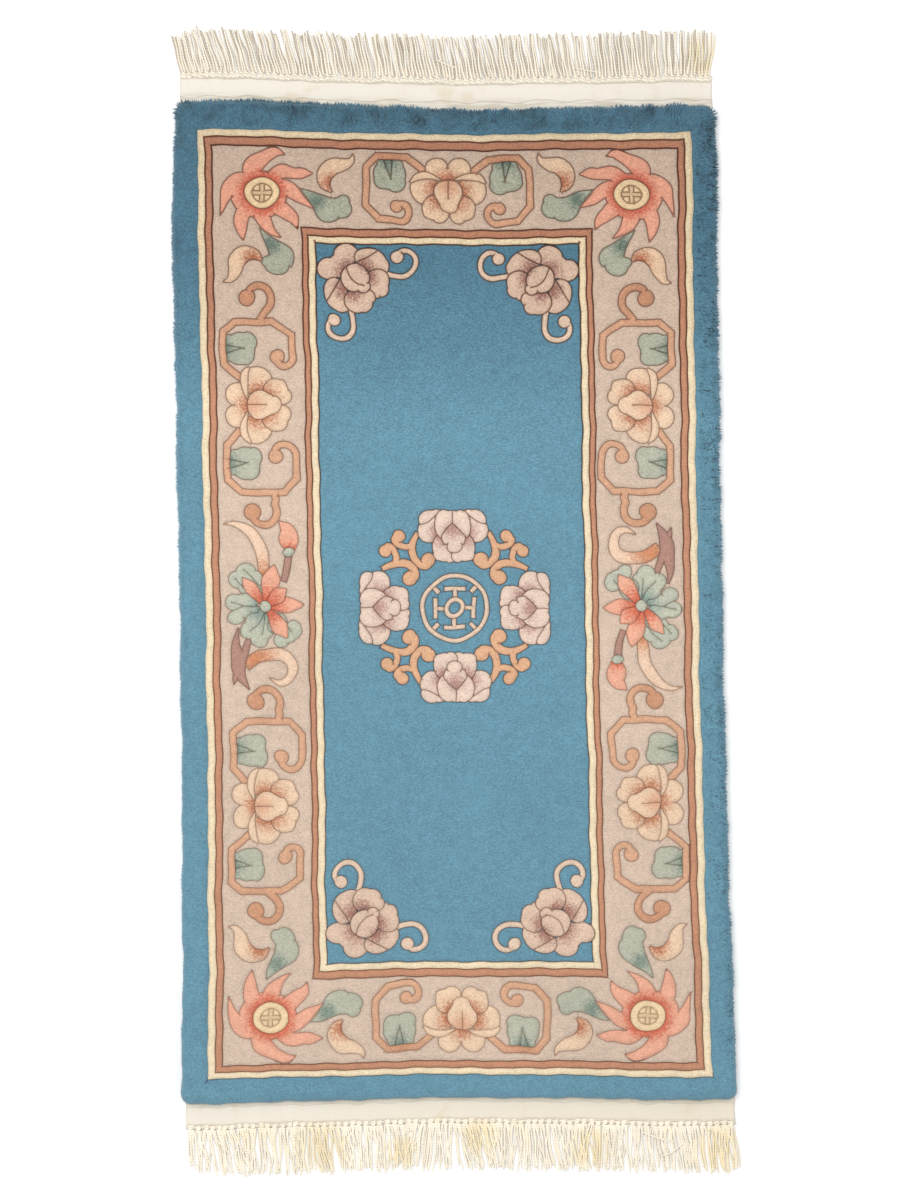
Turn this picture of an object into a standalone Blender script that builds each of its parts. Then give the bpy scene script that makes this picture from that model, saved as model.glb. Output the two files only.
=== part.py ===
"""A carved wool pile rug with knotted cotton fringes, lying flat on the floor.

The cotton foundation cloth shows as a bare web at both ends. The wool pile stands on it as one thick slab: its rim is
a row of soft locks, and its face is carved with the grooves of the guard stripes and with low flower reliefs. Each
fringe is a row of knots that ends in loose locks of warp yarn. X runs across the rug, Y along it and Z up, with the
origin on the floor under the rug's middle.
"""

import math
import random

import bmesh
import bpy
from mathutils import Vector
from mathutils.geometry import delaunay_2d_cdt

# Driving dimensions, in metres
PILE_WIDTH = 0.760
PILE_LENGTH = 1.384
PILE_CORNER = 0.014
PILE_TOP = 0.018
CLOTH_THICKNESS = 0.003
CLOTH_WIDTH = 0.752
WEB_LENGTH = 0.028
TOUCH_GAP = 0.0003

# How the rug lies: it leans, spreads at its ends, and its end lines sag in the middle
LEAN = 0.0174
SIDE_SHIFT = -0.0030
SPREAD_UPPER = 0.006
SPREAD_LOWER = 0.026
END_SAG = 0.0030
WOBBLE = 0.0006
# The wobble's waves, in radians for each metre across and along, and where they start
SIDE_WAVES = ((0.0, 23.0, 1.0), (-9.0, 41.0, 0.0))
END_WAVE = (31.0, 5.0, 0.0)
HALF_LENGTH = PILE_LENGTH / 2
HALF_WIDTH = PILE_WIDTH / 2

# The pile's rim of locks
LOCKS_ACROSS = 25
LOCKS_ALONG = 45
LOCK_BULGE = 0.0030
LOCK_VALLEY = 0.0030
LOCK_HEIGHT = 0.0095
RIM_UNDERCUT = 0.0060
RIM_SQUARENESS = 24
SHOULDER_RINGS = (  # inset from the rim, height below the pile's top
    (0.0030, 0.0030),
    (0.0085, 0.0006),
)

# The carved grooves, and the soft unevenness of the pile between them
GROOVE_HALF_WIDTH = 0.0024
GROOVE_DEPTH = 0.0034
GROOVE_STEP = 0.062
LUMP_STEP = 0.058
LUMP_HEIGHT = 0.0009
LUMP_MARGIN = 0.020
LUMP_STRAY = 0.012
LUMP_CLEARANCE = 0.010
DESIGN_SHIFT = -0.0040
GUARD_LINES = (  # half width and half length of each carved rectangle
    (0.3440, 0.6585),
    (0.3210, 0.6355),
    (0.2005, 0.5175),
    (0.1815, 0.4985),
)

# The low reliefs: place in the upper right quarter, radius, and the number, depth and form of the petals round it
BAND_X = 0.2608
BAND_Y = 0.5765
ROUND = "round"
POINTED = "pointed"
RELIEFS = (  # name, x, y, radius, petals, petal depth, petal form
    ("corner star flower", BAND_X, BAND_Y, 0.0530, 8, 0.32, POINTED),
    ("end peony", 0.0, BAND_Y, 0.0500, 6, 0.14, ROUND),
    ("side peony", BAND_X, 0.2780, 0.0500, 6, 0.14, ROUND),
    ("side lotus", BAND_X, 0.0, 0.0500, 7, 0.30, POINTED),
    ("field peony", 0.1285, 0.4475, 0.0450, 6, 0.14, ROUND),
    ("medallion end peony", 0.0, 0.0985, 0.0330, 5, 0.14, ROUND),
    ("medallion side peony", 0.0985, 0.0, 0.0330, 5, 0.14, ROUND),
    ("medallion disc", 0.0, 0.0, 0.0480, 6, 0.0, ROUND),
)
POINTS_PER_PETAL = 4
RELIEF_LIP = 0.0022
RELIEF_CROWN = 0.0014
CROWN_SHARE = 0.5

# The fringes: a row of knots at the web's edge, each ending in one lock of warp yarns
KNOTS = 75
KNOT_ROW = 0.012
KNOT_CROWN_SHARE = 0.45
KNOT_LEAST_SHARE = 0.86
KNOT_HEIGHT = 0.0052
KNOT_VALLEY_HEIGHT = 0.0032
STRAND_ROOT_WIDTH = 0.0064
STRAND_TIP_WIDTH = 0.0036
STRAND_THICKNESS = 0.0030
STRAND_TIP_THICKNESS = 0.0018
STRAND_LENGTH = 0.056
STRAND_LENGTH_SPREAD = 0.005
STRAND_RINGS = 3
STRAND_SWAY = 0.0011
STRAND_WAVE = 0.0030
STRAND_WAVES = 17.0

RANDOM_SEED = 21
SHARP_ANGLE = math.radians(50)
MERGE_DISTANCE = 1e-7

# Base colour, roughness and metallic value of each material
MATERIALS = {
    "wool_pile": ((0.141, 0.305, 0.397, 1.0), 0.95, 0.0),
    "cotton_cloth": ((0.905, 0.855, 0.745, 1.0), 0.92, 0.0),
    "cotton_yarn": ((0.860, 0.800, 0.690, 1.0), 0.90, 0.0),
}


def clear_scene():
    for thing in list(bpy.data.objects):
        bpy.data.objects.remove(thing, do_unlink=True)


def make_material(name):
    colour, roughness, metallic = MATERIALS[name]
    material = bpy.data.materials.new(name)
    material.use_nodes = True
    shader = material.node_tree.nodes["Principled BSDF"]
    shader.inputs["Base Color"].default_value = colour
    shader.inputs["Roughness"].default_value = roughness
    shader.inputs["Metallic"].default_value = metallic
    material.diffuse_color = colour
    return material


def wave(form, x, y):
    turns_x, turns_y, start = form
    return math.sin(turns_x * x + turns_y * y + start)


def lie(x, y):
    """Where a point of the straight, square rug comes to lie on the floor."""
    along = y / HALF_LENGTH
    spread = 1 + (SPREAD_UPPER if y > 0 else SPREAD_LOWER) * along * along
    sag = END_SAG * along * math.cos(math.pi * x / HALF_WIDTH)
    across_wobble = WOBBLE * sum(wave(form, x, y) for form in SIDE_WAVES)
    along_wobble = WOBBLE * wave(END_WAVE, x, y)
    return Vector(
        (
            x * spread - LEAN * y + SIDE_SHIFT + across_wobble,
            y - sag + along_wobble,
        )
    )


def rounded_rectangle(half_width, half_length, radius, inset, count_x, count_y):
    """Points round the rug's plan, count_x on each end and count_y on each side, drawn in by inset."""
    points = []
    sides = (
        (Vector((1, 0)), Vector((0, -1)), count_x, half_width, half_length),
        (Vector((0, 1)), Vector((1, 0)), count_y, half_length, half_width),
        (Vector((-1, 0)), Vector((0, 1)), count_x, half_width, half_length),
        (Vector((0, -1)), Vector((-1, 0)), count_y, half_length, half_width),
    )
    for direction, outward, count, reach, away in sides:
        for step in range(count):
            along = (2 * (step + 0.5) / count - 1) * reach
            past = max(0.0, abs(along) - (reach - radius))
            back = radius - math.sqrt(max(0.0, radius * radius - past * past))
            shrunk = along * (reach - inset) / reach
            points.append(direction * shrunk + outward * (away - back - inset))
    return points


def ring_on_floor(points):
    return [lie(p.x, p.y) for p in points]


def rectangle_line(half_width, half_length, step):
    """A closed rectangle of the carved design, with points about one step apart."""
    corners = [
        Vector((half_width, half_length)),
        Vector((-half_width, half_length)),
        Vector((-half_width, -half_length)),
        Vector((half_width, -half_length)),
    ]
    points = []
    for start, end in zip(corners, corners[1:] + corners[:1]):
        pieces = max(2, round((end - start).length / step))
        points += [start.lerp(end, k / pieces) for k in range(pieces)]
    return [lie(p.x, p.y + DESIGN_SHIFT) for p in points]


def petal_ring(centre, radius, petals, depth, form, count):
    """A flower's outline: round petals meet in sharp valleys, and pointed ones in round valleys."""
    points = []
    for k in range(count):
        angle = 2 * math.pi * k / count
        wave = abs(math.cos(petals * angle / 2))
        dip = 1 - wave if form == ROUND else math.sqrt(1 - wave * wave)
        reach = radius * (1 - depth * dip)
        x = centre[0] + reach * math.cos(angle)
        y = centre[1] + reach * math.sin(angle)
        points.append(lie(x, y + DESIGN_SHIFT))
    return points


def mirrored_places(x, y):
    """The place in each quarter of the design, once each where it lies on a centre line."""
    return sorted({(a * x, b * y) for a in (-1, 1) for b in (-1, 1)})


class PlanMesh:
    """Collects plan points with their heights, and the loops that the triangles must follow."""

    def __init__(self):
        self.points = []
        self.heights = []
        self.edges = []

    def add_point(self, point, height):
        self.points.append(Vector(point))
        self.heights.append(height)
        return len(self.points) - 1

    def add_loop(self, points, height):
        indices = [self.add_point(p, height) for p in points]
        self.edges += list(zip(indices, indices[1:] + indices[:1]))
        return indices

    def is_clear(self, point, distance):
        return all((other - point).length > distance for other in self.points)

    def triangles(self, outline):
        """The vertices, the triangles inside the outline, and where each outline point went."""
        places, _, faces, origins, _, _ = delaunay_2d_cdt(
            self.points, self.edges, [outline], 1, MERGE_DISTANCE
        )
        corners = [
            (p.x, p.y, self.heights[min(sources)])
            for p, sources in zip(places, origins)
        ]
        found = {source: k for k, sources in enumerate(origins) for source in sources}
        return corners, faces, [found[k] for k in outline]


def add_rim(plan, chance):
    """The locks round the rim, and the two shoulder rings above them. Returns the rim's own loop."""
    valley = rounded_rectangle(
        HALF_WIDTH, HALF_LENGTH, PILE_CORNER, 0.0, 3 * LOCKS_ACROSS, 3 * LOCKS_ALONG
    )
    rim = []
    for k, point in enumerate(valley):
        outward = Vector((point.x / HALF_WIDTH, point.y / HALF_LENGTH))
        outward = Vector(
            [math.copysign(abs(v) ** RIM_SQUARENESS, v) for v in outward]
        ).normalized()
        is_valley = k % 3 == 0
        push = -LOCK_VALLEY if is_valley else LOCK_BULGE * chance.uniform(0.1, 1.0)
        placed = point + outward * push
        rim.append(lie(placed.x, placed.y))
    loop = plan.add_loop(rim, LOCK_HEIGHT)
    for share, (inset, drop) in zip((2, 1), SHOULDER_RINGS):
        ring = rounded_rectangle(
            HALF_WIDTH,
            HALF_LENGTH,
            PILE_CORNER,
            inset + LOCK_VALLEY,
            share * LOCKS_ACROSS,
            share * LOCKS_ALONG,
        )
        plan.add_loop(ring_on_floor(ring), PILE_TOP - drop)
    return loop


def add_groove(plan, half_width, half_length):
    """One carved line: its floor and its two lips."""
    for offset, depth in (
        (GROOVE_HALF_WIDTH, 0.0),
        (0.0, GROOVE_DEPTH),
        (-GROOVE_HALF_WIDTH, 0.0),
    ):
        line = rectangle_line(half_width + offset, half_length + offset, GROOVE_STEP)
        plan.add_loop(line, PILE_TOP - depth)


def add_relief(plan, x, y, radius, petals, depth, form):
    """One flower or disc: a carved outline, the lip of the pile round it, and its crown."""
    count = POINTS_PER_PETAL * petals
    rings = (  # radius, height above the pile's top, number of points
        (radius + RELIEF_LIP, 0.0, count),
        (radius, -GROOVE_DEPTH, count),
        (radius - RELIEF_LIP, 0.0, count),
        (radius * CROWN_SHARE, RELIEF_CROWN, petals),
    )
    for reach, rise, points in rings:
        ring = petal_ring((x, y), reach, petals, depth, form, points)
        plan.add_loop(ring, PILE_TOP + rise)
    plan.add_point(lie(x, y + DESIGN_SHIFT), PILE_TOP + RELIEF_CROWN)


def add_lumps(plan, chance):
    """Free points between the carved lines, each a little high or low."""
    reach_x = HALF_WIDTH - LUMP_MARGIN
    reach_y = HALF_LENGTH - LUMP_MARGIN
    columns = round(2 * reach_x / LUMP_STEP)
    rows = round(2 * reach_y / LUMP_STEP)
    for row in range(rows + 1):
        for column in range(columns + 1):
            x = (2 * column / columns - 1) * reach_x
            y = (2 * row / rows - 1) * reach_y
            x += chance.uniform(-LUMP_STRAY, LUMP_STRAY)
            y += chance.uniform(-LUMP_STRAY, LUMP_STRAY)
            point = lie(max(-reach_x, min(reach_x, x)), max(-reach_y, min(reach_y, y)))
            lift = chance.uniform(-LUMP_HEIGHT, LUMP_HEIGHT)
            if plan.is_clear(point, LUMP_CLEARANCE):
                plan.add_point(point, PILE_TOP + lift)


def make_object(name, mesh_source, material, smooth=True):
    bmesh.ops.recalc_face_normals(mesh_source, faces=mesh_source.faces[:])
    mesh = bpy.data.meshes.new(name)
    mesh_source.to_mesh(mesh)
    mesh_source.free()
    mesh.materials.append(material)
    if smooth:
        mesh.shade_smooth()
        mesh.set_sharp_from_angle(angle=SHARP_ANGLE)
    thing = bpy.data.objects.new(name, mesh)
    bpy.context.scene.collection.objects.link(thing)
    return thing


def make_pile(material):
    """The wool pile as one closed slab: a carved face, a rim of locks, and a flat underside."""
    chance = random.Random(RANDOM_SEED)
    plan = PlanMesh()
    rim = add_rim(plan, chance)
    for half_width, half_length in GUARD_LINES:
        add_groove(plan, half_width, half_length)
    for _, x, y, *flower in RELIEFS:
        for place_x, place_y in mirrored_places(x, y):
            add_relief(plan, place_x, place_y, *flower)
    add_lumps(plan, chance)
    corners, faces, rim = plan.triangles(rim)

    mesh = bmesh.new()
    vertices = [mesh.verts.new(c) for c in corners]
    for face in faces:
        mesh.faces.new([vertices[k] for k in face])
    foot_plan = rounded_rectangle(
        HALF_WIDTH,
        HALF_LENGTH,
        PILE_CORNER,
        RIM_UNDERCUT,
        3 * LOCKS_ACROSS,
        3 * LOCKS_ALONG,
    )
    foot_height = CLOTH_THICKNESS + TOUCH_GAP
    foot = [mesh.verts.new((*p, foot_height)) for p in ring_on_floor(foot_plan)]
    count = len(rim)
    for k in range(count):
        after = (k + 1) % count
        mesh.faces.new((vertices[rim[k]], foot[k], foot[after], vertices[rim[after]]))
    mesh.faces.new(foot[::-1])
    return make_object("pile", mesh, material)


def knot_edges():
    """The places across the web where one knot ends and the next begins."""
    half = CLOTH_WIDTH / 2
    return [(2 * k / KNOTS - 1) * half for k in range(KNOTS + 1)]


def make_foundation(material):
    """The cotton cloth under the pile, whose two bare ends are the webs."""
    half = CLOTH_WIDTH / 2
    end = HALF_LENGTH + WEB_LENGTH
    steps = round(2 * end / GROOVE_STEP)
    side = [(2 * k / steps - 1) * end for k in range(1, steps)]
    outline = [lie(x, -end) for x in knot_edges()]
    outline += [lie(half, y) for y in side]
    outline += [lie(x, end) for x in reversed(knot_edges())]
    outline += [lie(-half, y) for y in reversed(side)]

    mesh = bmesh.new()
    low = [mesh.verts.new((p.x, p.y, 0.0)) for p in outline]
    high = [mesh.verts.new((p.x, p.y, CLOTH_THICKNESS)) for p in outline]
    mesh.faces.new(low[::-1])
    mesh.faces.new(high)
    for k in range(len(outline)):
        after = (k + 1) % len(outline)
        mesh.faces.new((low[k], low[after], high[after], high[k]))
    return make_object("foundation", mesh, material, smooth=False)


def strand_rings(root_left, root_right, toward, sway, length, chance):
    """The cross-sections of one lock of yarns, from just past its root to its tip, resting on the floor."""
    middle = (root_left + root_right) / 2
    across = (root_right - root_left).normalized()
    drift = 0.0
    rings = []
    for k in range(1, STRAND_RINGS + 1):
        share = k / STRAND_RINGS
        drift += chance.uniform(-STRAND_SWAY, STRAND_SWAY) / STRAND_RINGS
        centre = middle + Vector((sway * share + drift, toward * length * share))
        width = STRAND_ROOT_WIDTH + (STRAND_TIP_WIDTH - STRAND_ROOT_WIDTH) * share
        thick = STRAND_THICKNESS + (STRAND_TIP_THICKNESS - STRAND_THICKNESS) * share
        left = centre - across * width / 2
        right = centre + across * width / 2
        rings.append(((*left, 0.0), (*right, 0.0), (*right, thick), (*left, thick)))
    return rings


def add_strand(mesh, root, rings):
    """Grows one lock out of the four corners of its root."""
    previous = root
    for ring in rings:
        current = [mesh.verts.new(corner) for corner in ring]
        for k in range(4):
            after = (k + 1) % 4
            mesh.faces.new((previous[k], previous[after], current[after], current[k]))
        previous = current
    mesh.faces.new(previous)


def make_fringe(name, toward, lean, seed, material):
    """One fringe, all one piece: the knots in a row along the web, and a lock of yarns from each.

    toward is 1 for the upper end of the rug and -1 for the lower one. lean is how far the tips drift across."""
    chance = random.Random(seed)
    back_y = toward * (HALF_LENGTH + WEB_LENGTH + TOUCH_GAP)
    crown_y = back_y + toward * KNOT_ROW * KNOT_CROWN_SHARE
    front_y = back_y + toward * KNOT_ROW
    edges = knot_edges()
    inset = ((edges[1] - edges[0]) - STRAND_ROOT_WIDTH) / 2

    mesh = bmesh.new()

    def vertex(x, y, z):
        point = lie(x, y)
        return mesh.verts.new((point.x, point.y, z))

    back_low = [vertex(x, back_y, 0.0) for x in edges]
    back_top = [vertex(x, back_y, KNOT_VALLEY_HEIGHT) for x in edges]
    valley_crown = [vertex(x, crown_y, KNOT_VALLEY_HEIGHT) for x in edges]
    valley_front = [vertex(x, front_y, STRAND_THICKNESS) for x in edges]
    valley_low = [vertex(x, front_y, 0.0) for x in edges]

    front_low = [valley_low[0]]
    for k in range(KNOTS):
        left, right = edges[k] + inset, edges[k + 1] - inset
        height = KNOT_HEIGHT * chance.uniform(KNOT_LEAST_SHARE, 1.0)
        crown = [vertex(left, crown_y, height), vertex(right, crown_y, height)]
        front = [vertex(x, front_y, STRAND_THICKNESS) for x in (left, right)]
        low = [vertex(x, front_y, 0.0) for x in (left, right)]
        front_low += [*low, valley_low[k + 1]]

        back = (back_top[k], back_top[k + 1])
        mesh.faces.new((back[0], valley_crown[k], crown[0]))
        mesh.faces.new((back[0], crown[0], crown[1], back[1]))
        mesh.faces.new((back[1], crown[1], valley_crown[k + 1]))
        mesh.faces.new((valley_crown[k], valley_front[k], front[0], crown[0]))
        mesh.faces.new((crown[0], front[0], front[1], crown[1]))
        mesh.faces.new((crown[1], front[1], valley_front[k + 1], valley_crown[k + 1]))
        mesh.faces.new((valley_front[k], valley_low[k], low[0], front[0]))
        mesh.faces.new((front[1], low[1], valley_low[k + 1], valley_front[k + 1]))

        root_left, root_right = (Vector(v.co[:2]) for v in low)
        fan = abs(edges[k] + edges[k + 1]) / CLOTH_WIDTH
        sway = lean * (1 + fan) / 2
        sway += STRAND_WAVE * math.sin(STRAND_WAVES * edges[k] + seed)
        length = STRAND_LENGTH + chance.uniform(-1, 1) * STRAND_LENGTH_SPREAD
        rings = strand_rings(root_left, root_right, toward, sway, length, chance)
        add_strand(mesh, (low[0], low[1], front[1], front[0]), rings)

    for k in range(KNOTS):
        mesh.faces.new((back_low[k], back_low[k + 1], back_top[k + 1], back_top[k]))
    mesh.faces.new((*front_low, *reversed(back_low)))
    for end in (0, KNOTS):
        mesh.faces.new(
            (
                back_low[end],
                back_top[end],
                valley_crown[end],
                valley_front[end],
                valley_low[end],
            )
        )
    return make_object(name, mesh, material, smooth=False)


def main():
    clear_scene()
    wool = make_material("wool_pile")
    cloth = make_material("cotton_cloth")
    yarn = make_material("cotton_yarn")
    make_foundation(cloth)
    make_pile(wool)
    make_fringe("fringe_upper", toward=1, lean=-0.004, seed=5, material=yarn)
    make_fringe("fringe_lower", toward=-1, lean=0.003, seed=9, material=yarn)


main()
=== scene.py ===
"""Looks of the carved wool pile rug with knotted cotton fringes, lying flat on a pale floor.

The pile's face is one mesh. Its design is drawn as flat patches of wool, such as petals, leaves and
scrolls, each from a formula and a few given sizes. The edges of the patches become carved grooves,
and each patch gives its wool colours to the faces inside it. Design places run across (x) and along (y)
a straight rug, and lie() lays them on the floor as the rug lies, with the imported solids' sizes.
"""

import math
import random

import bpy
import numpy as np
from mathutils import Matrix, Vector, noise
from mathutils.geometry import delaunay_2d_cdt
from mathutils.kdtree import KDTree


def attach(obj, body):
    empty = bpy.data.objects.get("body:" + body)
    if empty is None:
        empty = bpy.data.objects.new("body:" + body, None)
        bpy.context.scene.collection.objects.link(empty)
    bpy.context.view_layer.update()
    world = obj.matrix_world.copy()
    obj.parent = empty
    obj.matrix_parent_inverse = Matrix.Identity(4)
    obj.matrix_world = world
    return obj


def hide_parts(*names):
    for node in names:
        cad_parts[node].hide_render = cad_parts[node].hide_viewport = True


MM = 0.001
RANDOM_SEED = 4

# Sizes of the rug, in metres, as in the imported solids
PILE_WIDTH = 0.760
PILE_LENGTH = 1.384
PILE_CORNER = 0.014
PILE_TOP = 0.018
PILE_FOOT = 0.0033
CLOTH_THICKNESS = 0.003
CREASE_PLACE = 0.0058
HALF_LENGTH = PILE_LENGTH / 2
HALF_WIDTH = PILE_WIDTH / 2
WEB_WIDTH = 0.744
RIM_LOW = (-0.3780, -0.6925)  # how far the pile's foot reaches to the left and down
RIM_HIGH = (0.3748, 0.6880)  # and to the right and up
DESIGN_SHIFT = -0.0040

# How the rug lies: it leans, spreads at its ends, its end lines sag in the middle, its right side is
# shorter, its lines wander a little, and its upper left corner is pulled out
LEAN = 0.0174
SIDE_SHIFT = -0.0030
SPREAD_UPPER = 0.006
SPREAD_LOWER = 0.026
END_SAG = 0.0030
TAPER = 0.0115
CORNER_PULL = 1.6
CORNER_START = (0.30, 0.54)
CORNER_REACH = (0.09, 0.12)
UNLIE_ROUNDS = 6  # of the search for the design place of a point on the floor
WOBBLE = 0.0006
STRAY = 0.00045
ACROSS_WAVES = (  # height, radians for each metre across and along, and phase
    (WOBBLE, 0, 23, 1.0),
    (WOBBLE, -9, 41, 0.0),
    (STRAY, 37, 83, 0.0),
    (STRAY, -60, 151, 2.0),
)
ALONG_WAVES = (
    (WOBBLE, 31, 5, 0.0),
    (STRAY, 97, 29, 0.0),
    (STRAY, 163, 71, 1.0),
)

# The carved face: its grooves, the points that its mesh is made of, and its soft lumps
GROOVE_DEPTH = 0.0030
LIP_WIDTH = 0.0017
LINE_STEP = 0.0025
BOUNDARY_CLEARANCE = 0.0012
FINE_STEP = 0.0042
PLAIN_STEP = 0.0075
GRID_STRAY = 0.18  # how far a grid's points stray, in steps
GRID_MARGIN = 0.02
LIP_SPACING = 0.0011
FINE_CLEARANCE = 0.0026
PLAIN_CLEARANCE = 0.0050
PLAIN_INSET = 0.0070
NEAR_LINE = 0.014  # within this of a line, the field's points are fine
LUMP_HEIGHT = 0.0008

# How dark the carved lines are painted, with their roots' colour and painted shadow, from 0 to 1
BAND_LINES = 0.64
FIELD_LINES = 0.82
EDGE_LINES = 0.08
LOWER_EDGE_LINES = 0.8
BAND_MARGIN = 0.004  # how far inside a stripe the lines of the band and the field start
STRIPE_MARGIN = 0.005  # and how far outside the inner stripe those of the band end
OUTER_MARGIN = 0.003
LOWER_EDGE = -0.65

# The rim: how far in and how high each ring of the rounded edge lies, and how its wool swells it
RIM_STEP = 0.0042
CORNER_POINTS = 6
RIM_PUSH = 0.0034
RIM_DENT = 0.0010
RIM_SQUARENESS = 24
UPPER_WAVE_PLACES = (-0.36, -0.30, -0.16, 0.0, 0.06, 0.15, 0.30)
UPPER_WAVE = (0.0, 0.003, 0.003, -0.002, -0.004, -0.001, 0.0)
RIM_HEIGHT = 0.0095
UPPER_RINGS = ((0.0016, 0.0148), (0.0046, 0.0172))
LOWER_RINGS = ((0.0022, 0.0058), (0.0060, PILE_FOOT))

# Half widths and half lengths of the stripes, from the outside in
CREAM_OUTER = (0.3423, 0.6560)
RUST_OUTER = (0.3318, 0.64575)
BAND = (0.3222, 0.6346)
RUST_INNER = (0.2007, 0.5200)
CREAM_INNER = (0.1928, 0.5093)
FIELD = (0.1824, 0.4995)
CREAM_SHIFT = (0.0, -0.0008)
RUST_SHIFT = (0.0, -0.00075)
UPPER_SHIFT = (0.0, -0.0015)
INNER_SHIFT = (0.0022, 0.0016)
CORNER_LIFT = 0.0017

# The photograph's frame: its height at the rug, and the point at its middle
VIEW_HEIGHT = 1.6704
VIEW_CENTRE = (-0.0056, 0.0021)
CAMERA_HEIGHT = 6.0
SENSOR = 36.0

SHIFT = np.array((0.0, DESIGN_SHIFT))

# The yarn
KNOT_LINES = {1: 0.7245, -1: -0.7232}  # where the rows of knots lie at the upper and the lower end
TWIST = 2 * math.pi / 0.0042  # turn of the two plies along a cord, in radians for each metre
YARN_STAINS = (  # where the yarn has yellowed, and how far round
    (-0.185, -0.760, 0.050),
    (-0.075, -0.765, 0.030),
    (0.035, -0.745, 0.036),
    (0.190, -0.760, 0.040),
    (0.370, -0.765, 0.050),
    (0.350, 0.760, 0.040),
)

# Light
SKY_STRENGTH = 0.76
LAMP_POWER = 66.0
LAMP_PLACE = (-0.6, 0.6, 3.2)
LAMP_SIZE = 2.5
FLOOR_HALF = 8.0
WOOL_LIGHT = 0.90  # how much of its colour's light the wool gives back


def wool(red, green, blue):
    """A colour as seen on a screen, 0 to 255, as the linear colour that a shader takes."""
    return tuple(
        c / 12.92 if c <= 0.04045 else ((c + 0.055) / 1.055) ** 2.4
        for c in (red / 255, green / 255, blue / 255)
    )


BLUE = wool(102, 149, 169)
CREAM = wool(244, 224, 189)
RUST = wool(201, 143, 111)
BEIGE = wool(216, 192, 172)
SCROLL = wool(222, 172, 138)
SCROLL_DEEP = wool(206, 150, 116)
LEAF = wool(187, 187, 168)
LEAF_DEEP = wool(128, 144, 130)
TEAL_LEAF = wool(194, 195, 176)
TEAL_LEAF_DEEP = wool(140, 160, 148)
PEACH = wool(239, 207, 176)
PEACH_DEEP = wool(192, 121, 86)
PEACH_BUD_DEEP = wool(226, 174, 142)
CORAL = wool(240, 177, 149)
CORAL_DEEP = wool(212, 108, 80)
DISC = wool(244, 216, 173)
FRET = wool(228, 198, 158)
MAUVE_PINK = wool(226, 196, 173)
MAUVE_PINK_DEEP = wool(164, 114, 102)
TENDRIL = wool(232, 204, 180)
SHELL = wool(234, 208, 190)
SHELL_DEEP = wool(184, 140, 130)
MEDALLION_SCROLL = wool(226, 176, 138)
STEM = wool(181, 138, 123)
RIBBON = wool(242, 208, 180)
RIBBON_DEEP = wool(208, 138, 98)
# Partly the darker colour of the roots that the carving lays bare, partly painted shadow in the grooves
GROOVE_ROOTS_AND_SHADE = wool(134, 96, 76)
CLOTH = wool(252, 245, 232)
CLOTH_STAIN = wool(226, 201, 150)
# Part ochre stain, part painted shade, in streaks beside the pile
CLOTH_EDGE_STAIN_AND_SHADE = wool(206, 190, 160)
CLOTH_SHADE = wool(168, 146, 116)
YARN = wool(252, 243, 225)
YARN_SHADE = wool(214, 192, 168)
YARN_STAIN = wool(244, 224, 172)
FLOOR = wool(247, 247, 247)


def wander(x, y, waves):
    """How far the rug's lines stray there, as a sum of waves."""
    return sum(height * np.sin(across * x + along * y + phase) for height, across, along, phase in waves)


def lie(places):
    """Where design places of the straight, square rug come to lie on the floor."""
    x, y = places[:, 0], places[:, 1]
    along = y / HALF_LENGTH
    spread = 1 + np.where(y > 0, SPREAD_UPPER, SPREAD_LOWER) * along * along
    sag = END_SAG * along * np.cos(math.pi * x / HALF_WIDTH)
    near_corner = np.clip((y - CORNER_START[1]) / CORNER_REACH[1], 0, 1) ** 1.5
    corner_pull = CORNER_PULL * np.clip(-x - CORNER_START[0], 0, CORNER_REACH[0]) ** 2 * near_corner
    laid_x = x * spread - LEAN * y + SIDE_SHIFT + wander(x, y, ACROSS_WAVES) + corner_pull
    return np.column_stack((laid_x, y * (1 - TAPER * x) - sag + wander(x, y, ALONG_WAVES)))


def unlie(points):
    """The design places that lie at these points of the floor."""
    places = points.copy()
    for _ in range(UNLIE_ROUNDS):
        places += points - lie(places)
    return places


def ripple(x, y, rate, layer, along_rate=None):
    """Soft noise from about -1 to 1, with this many lumps in a metre. Each layer differs from the others."""
    return noise.noise(Vector((x * rate, y * (along_rate or rate), layer)))


# Outlines and paths of the design, in millimetres


def ellipse(x, y, across, along, turn=0.0):
    """An oval round (x, y), with half sizes across and along, turned by degrees."""
    count = max(10, round(math.pi * (across + along) / 2.5))
    angles = np.linspace(0, 2 * math.pi, count, endpoint=False)
    ring = np.column_stack((across * np.cos(angles), along * np.sin(angles)))
    return turned(ring, turn) + (x, y)


def turned(points, degrees):
    """The points turned round the origin."""
    angle = math.radians(degrees)
    c, s = math.cos(angle), math.sin(angle)
    return points @ np.array(((c, s), (-s, c)))


def spiral(x, y, start_radius, start_angle, end_radius, end_angle, bend=1.0):
    """Points of an arc round (x, y) that closes in from one radius to another. Angles are in degrees."""
    sweep = math.radians(abs(end_angle - start_angle))
    count = max(4, round(sweep * max(start_radius, end_radius) / 2.6))
    share = np.linspace(0, 1, count)
    radius = start_radius + (end_radius - start_radius) * share**bend
    angle = np.radians(start_angle + (end_angle - start_angle) * share)
    return np.column_stack((x + radius * np.cos(angle), y + radius * np.sin(angle)))


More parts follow.
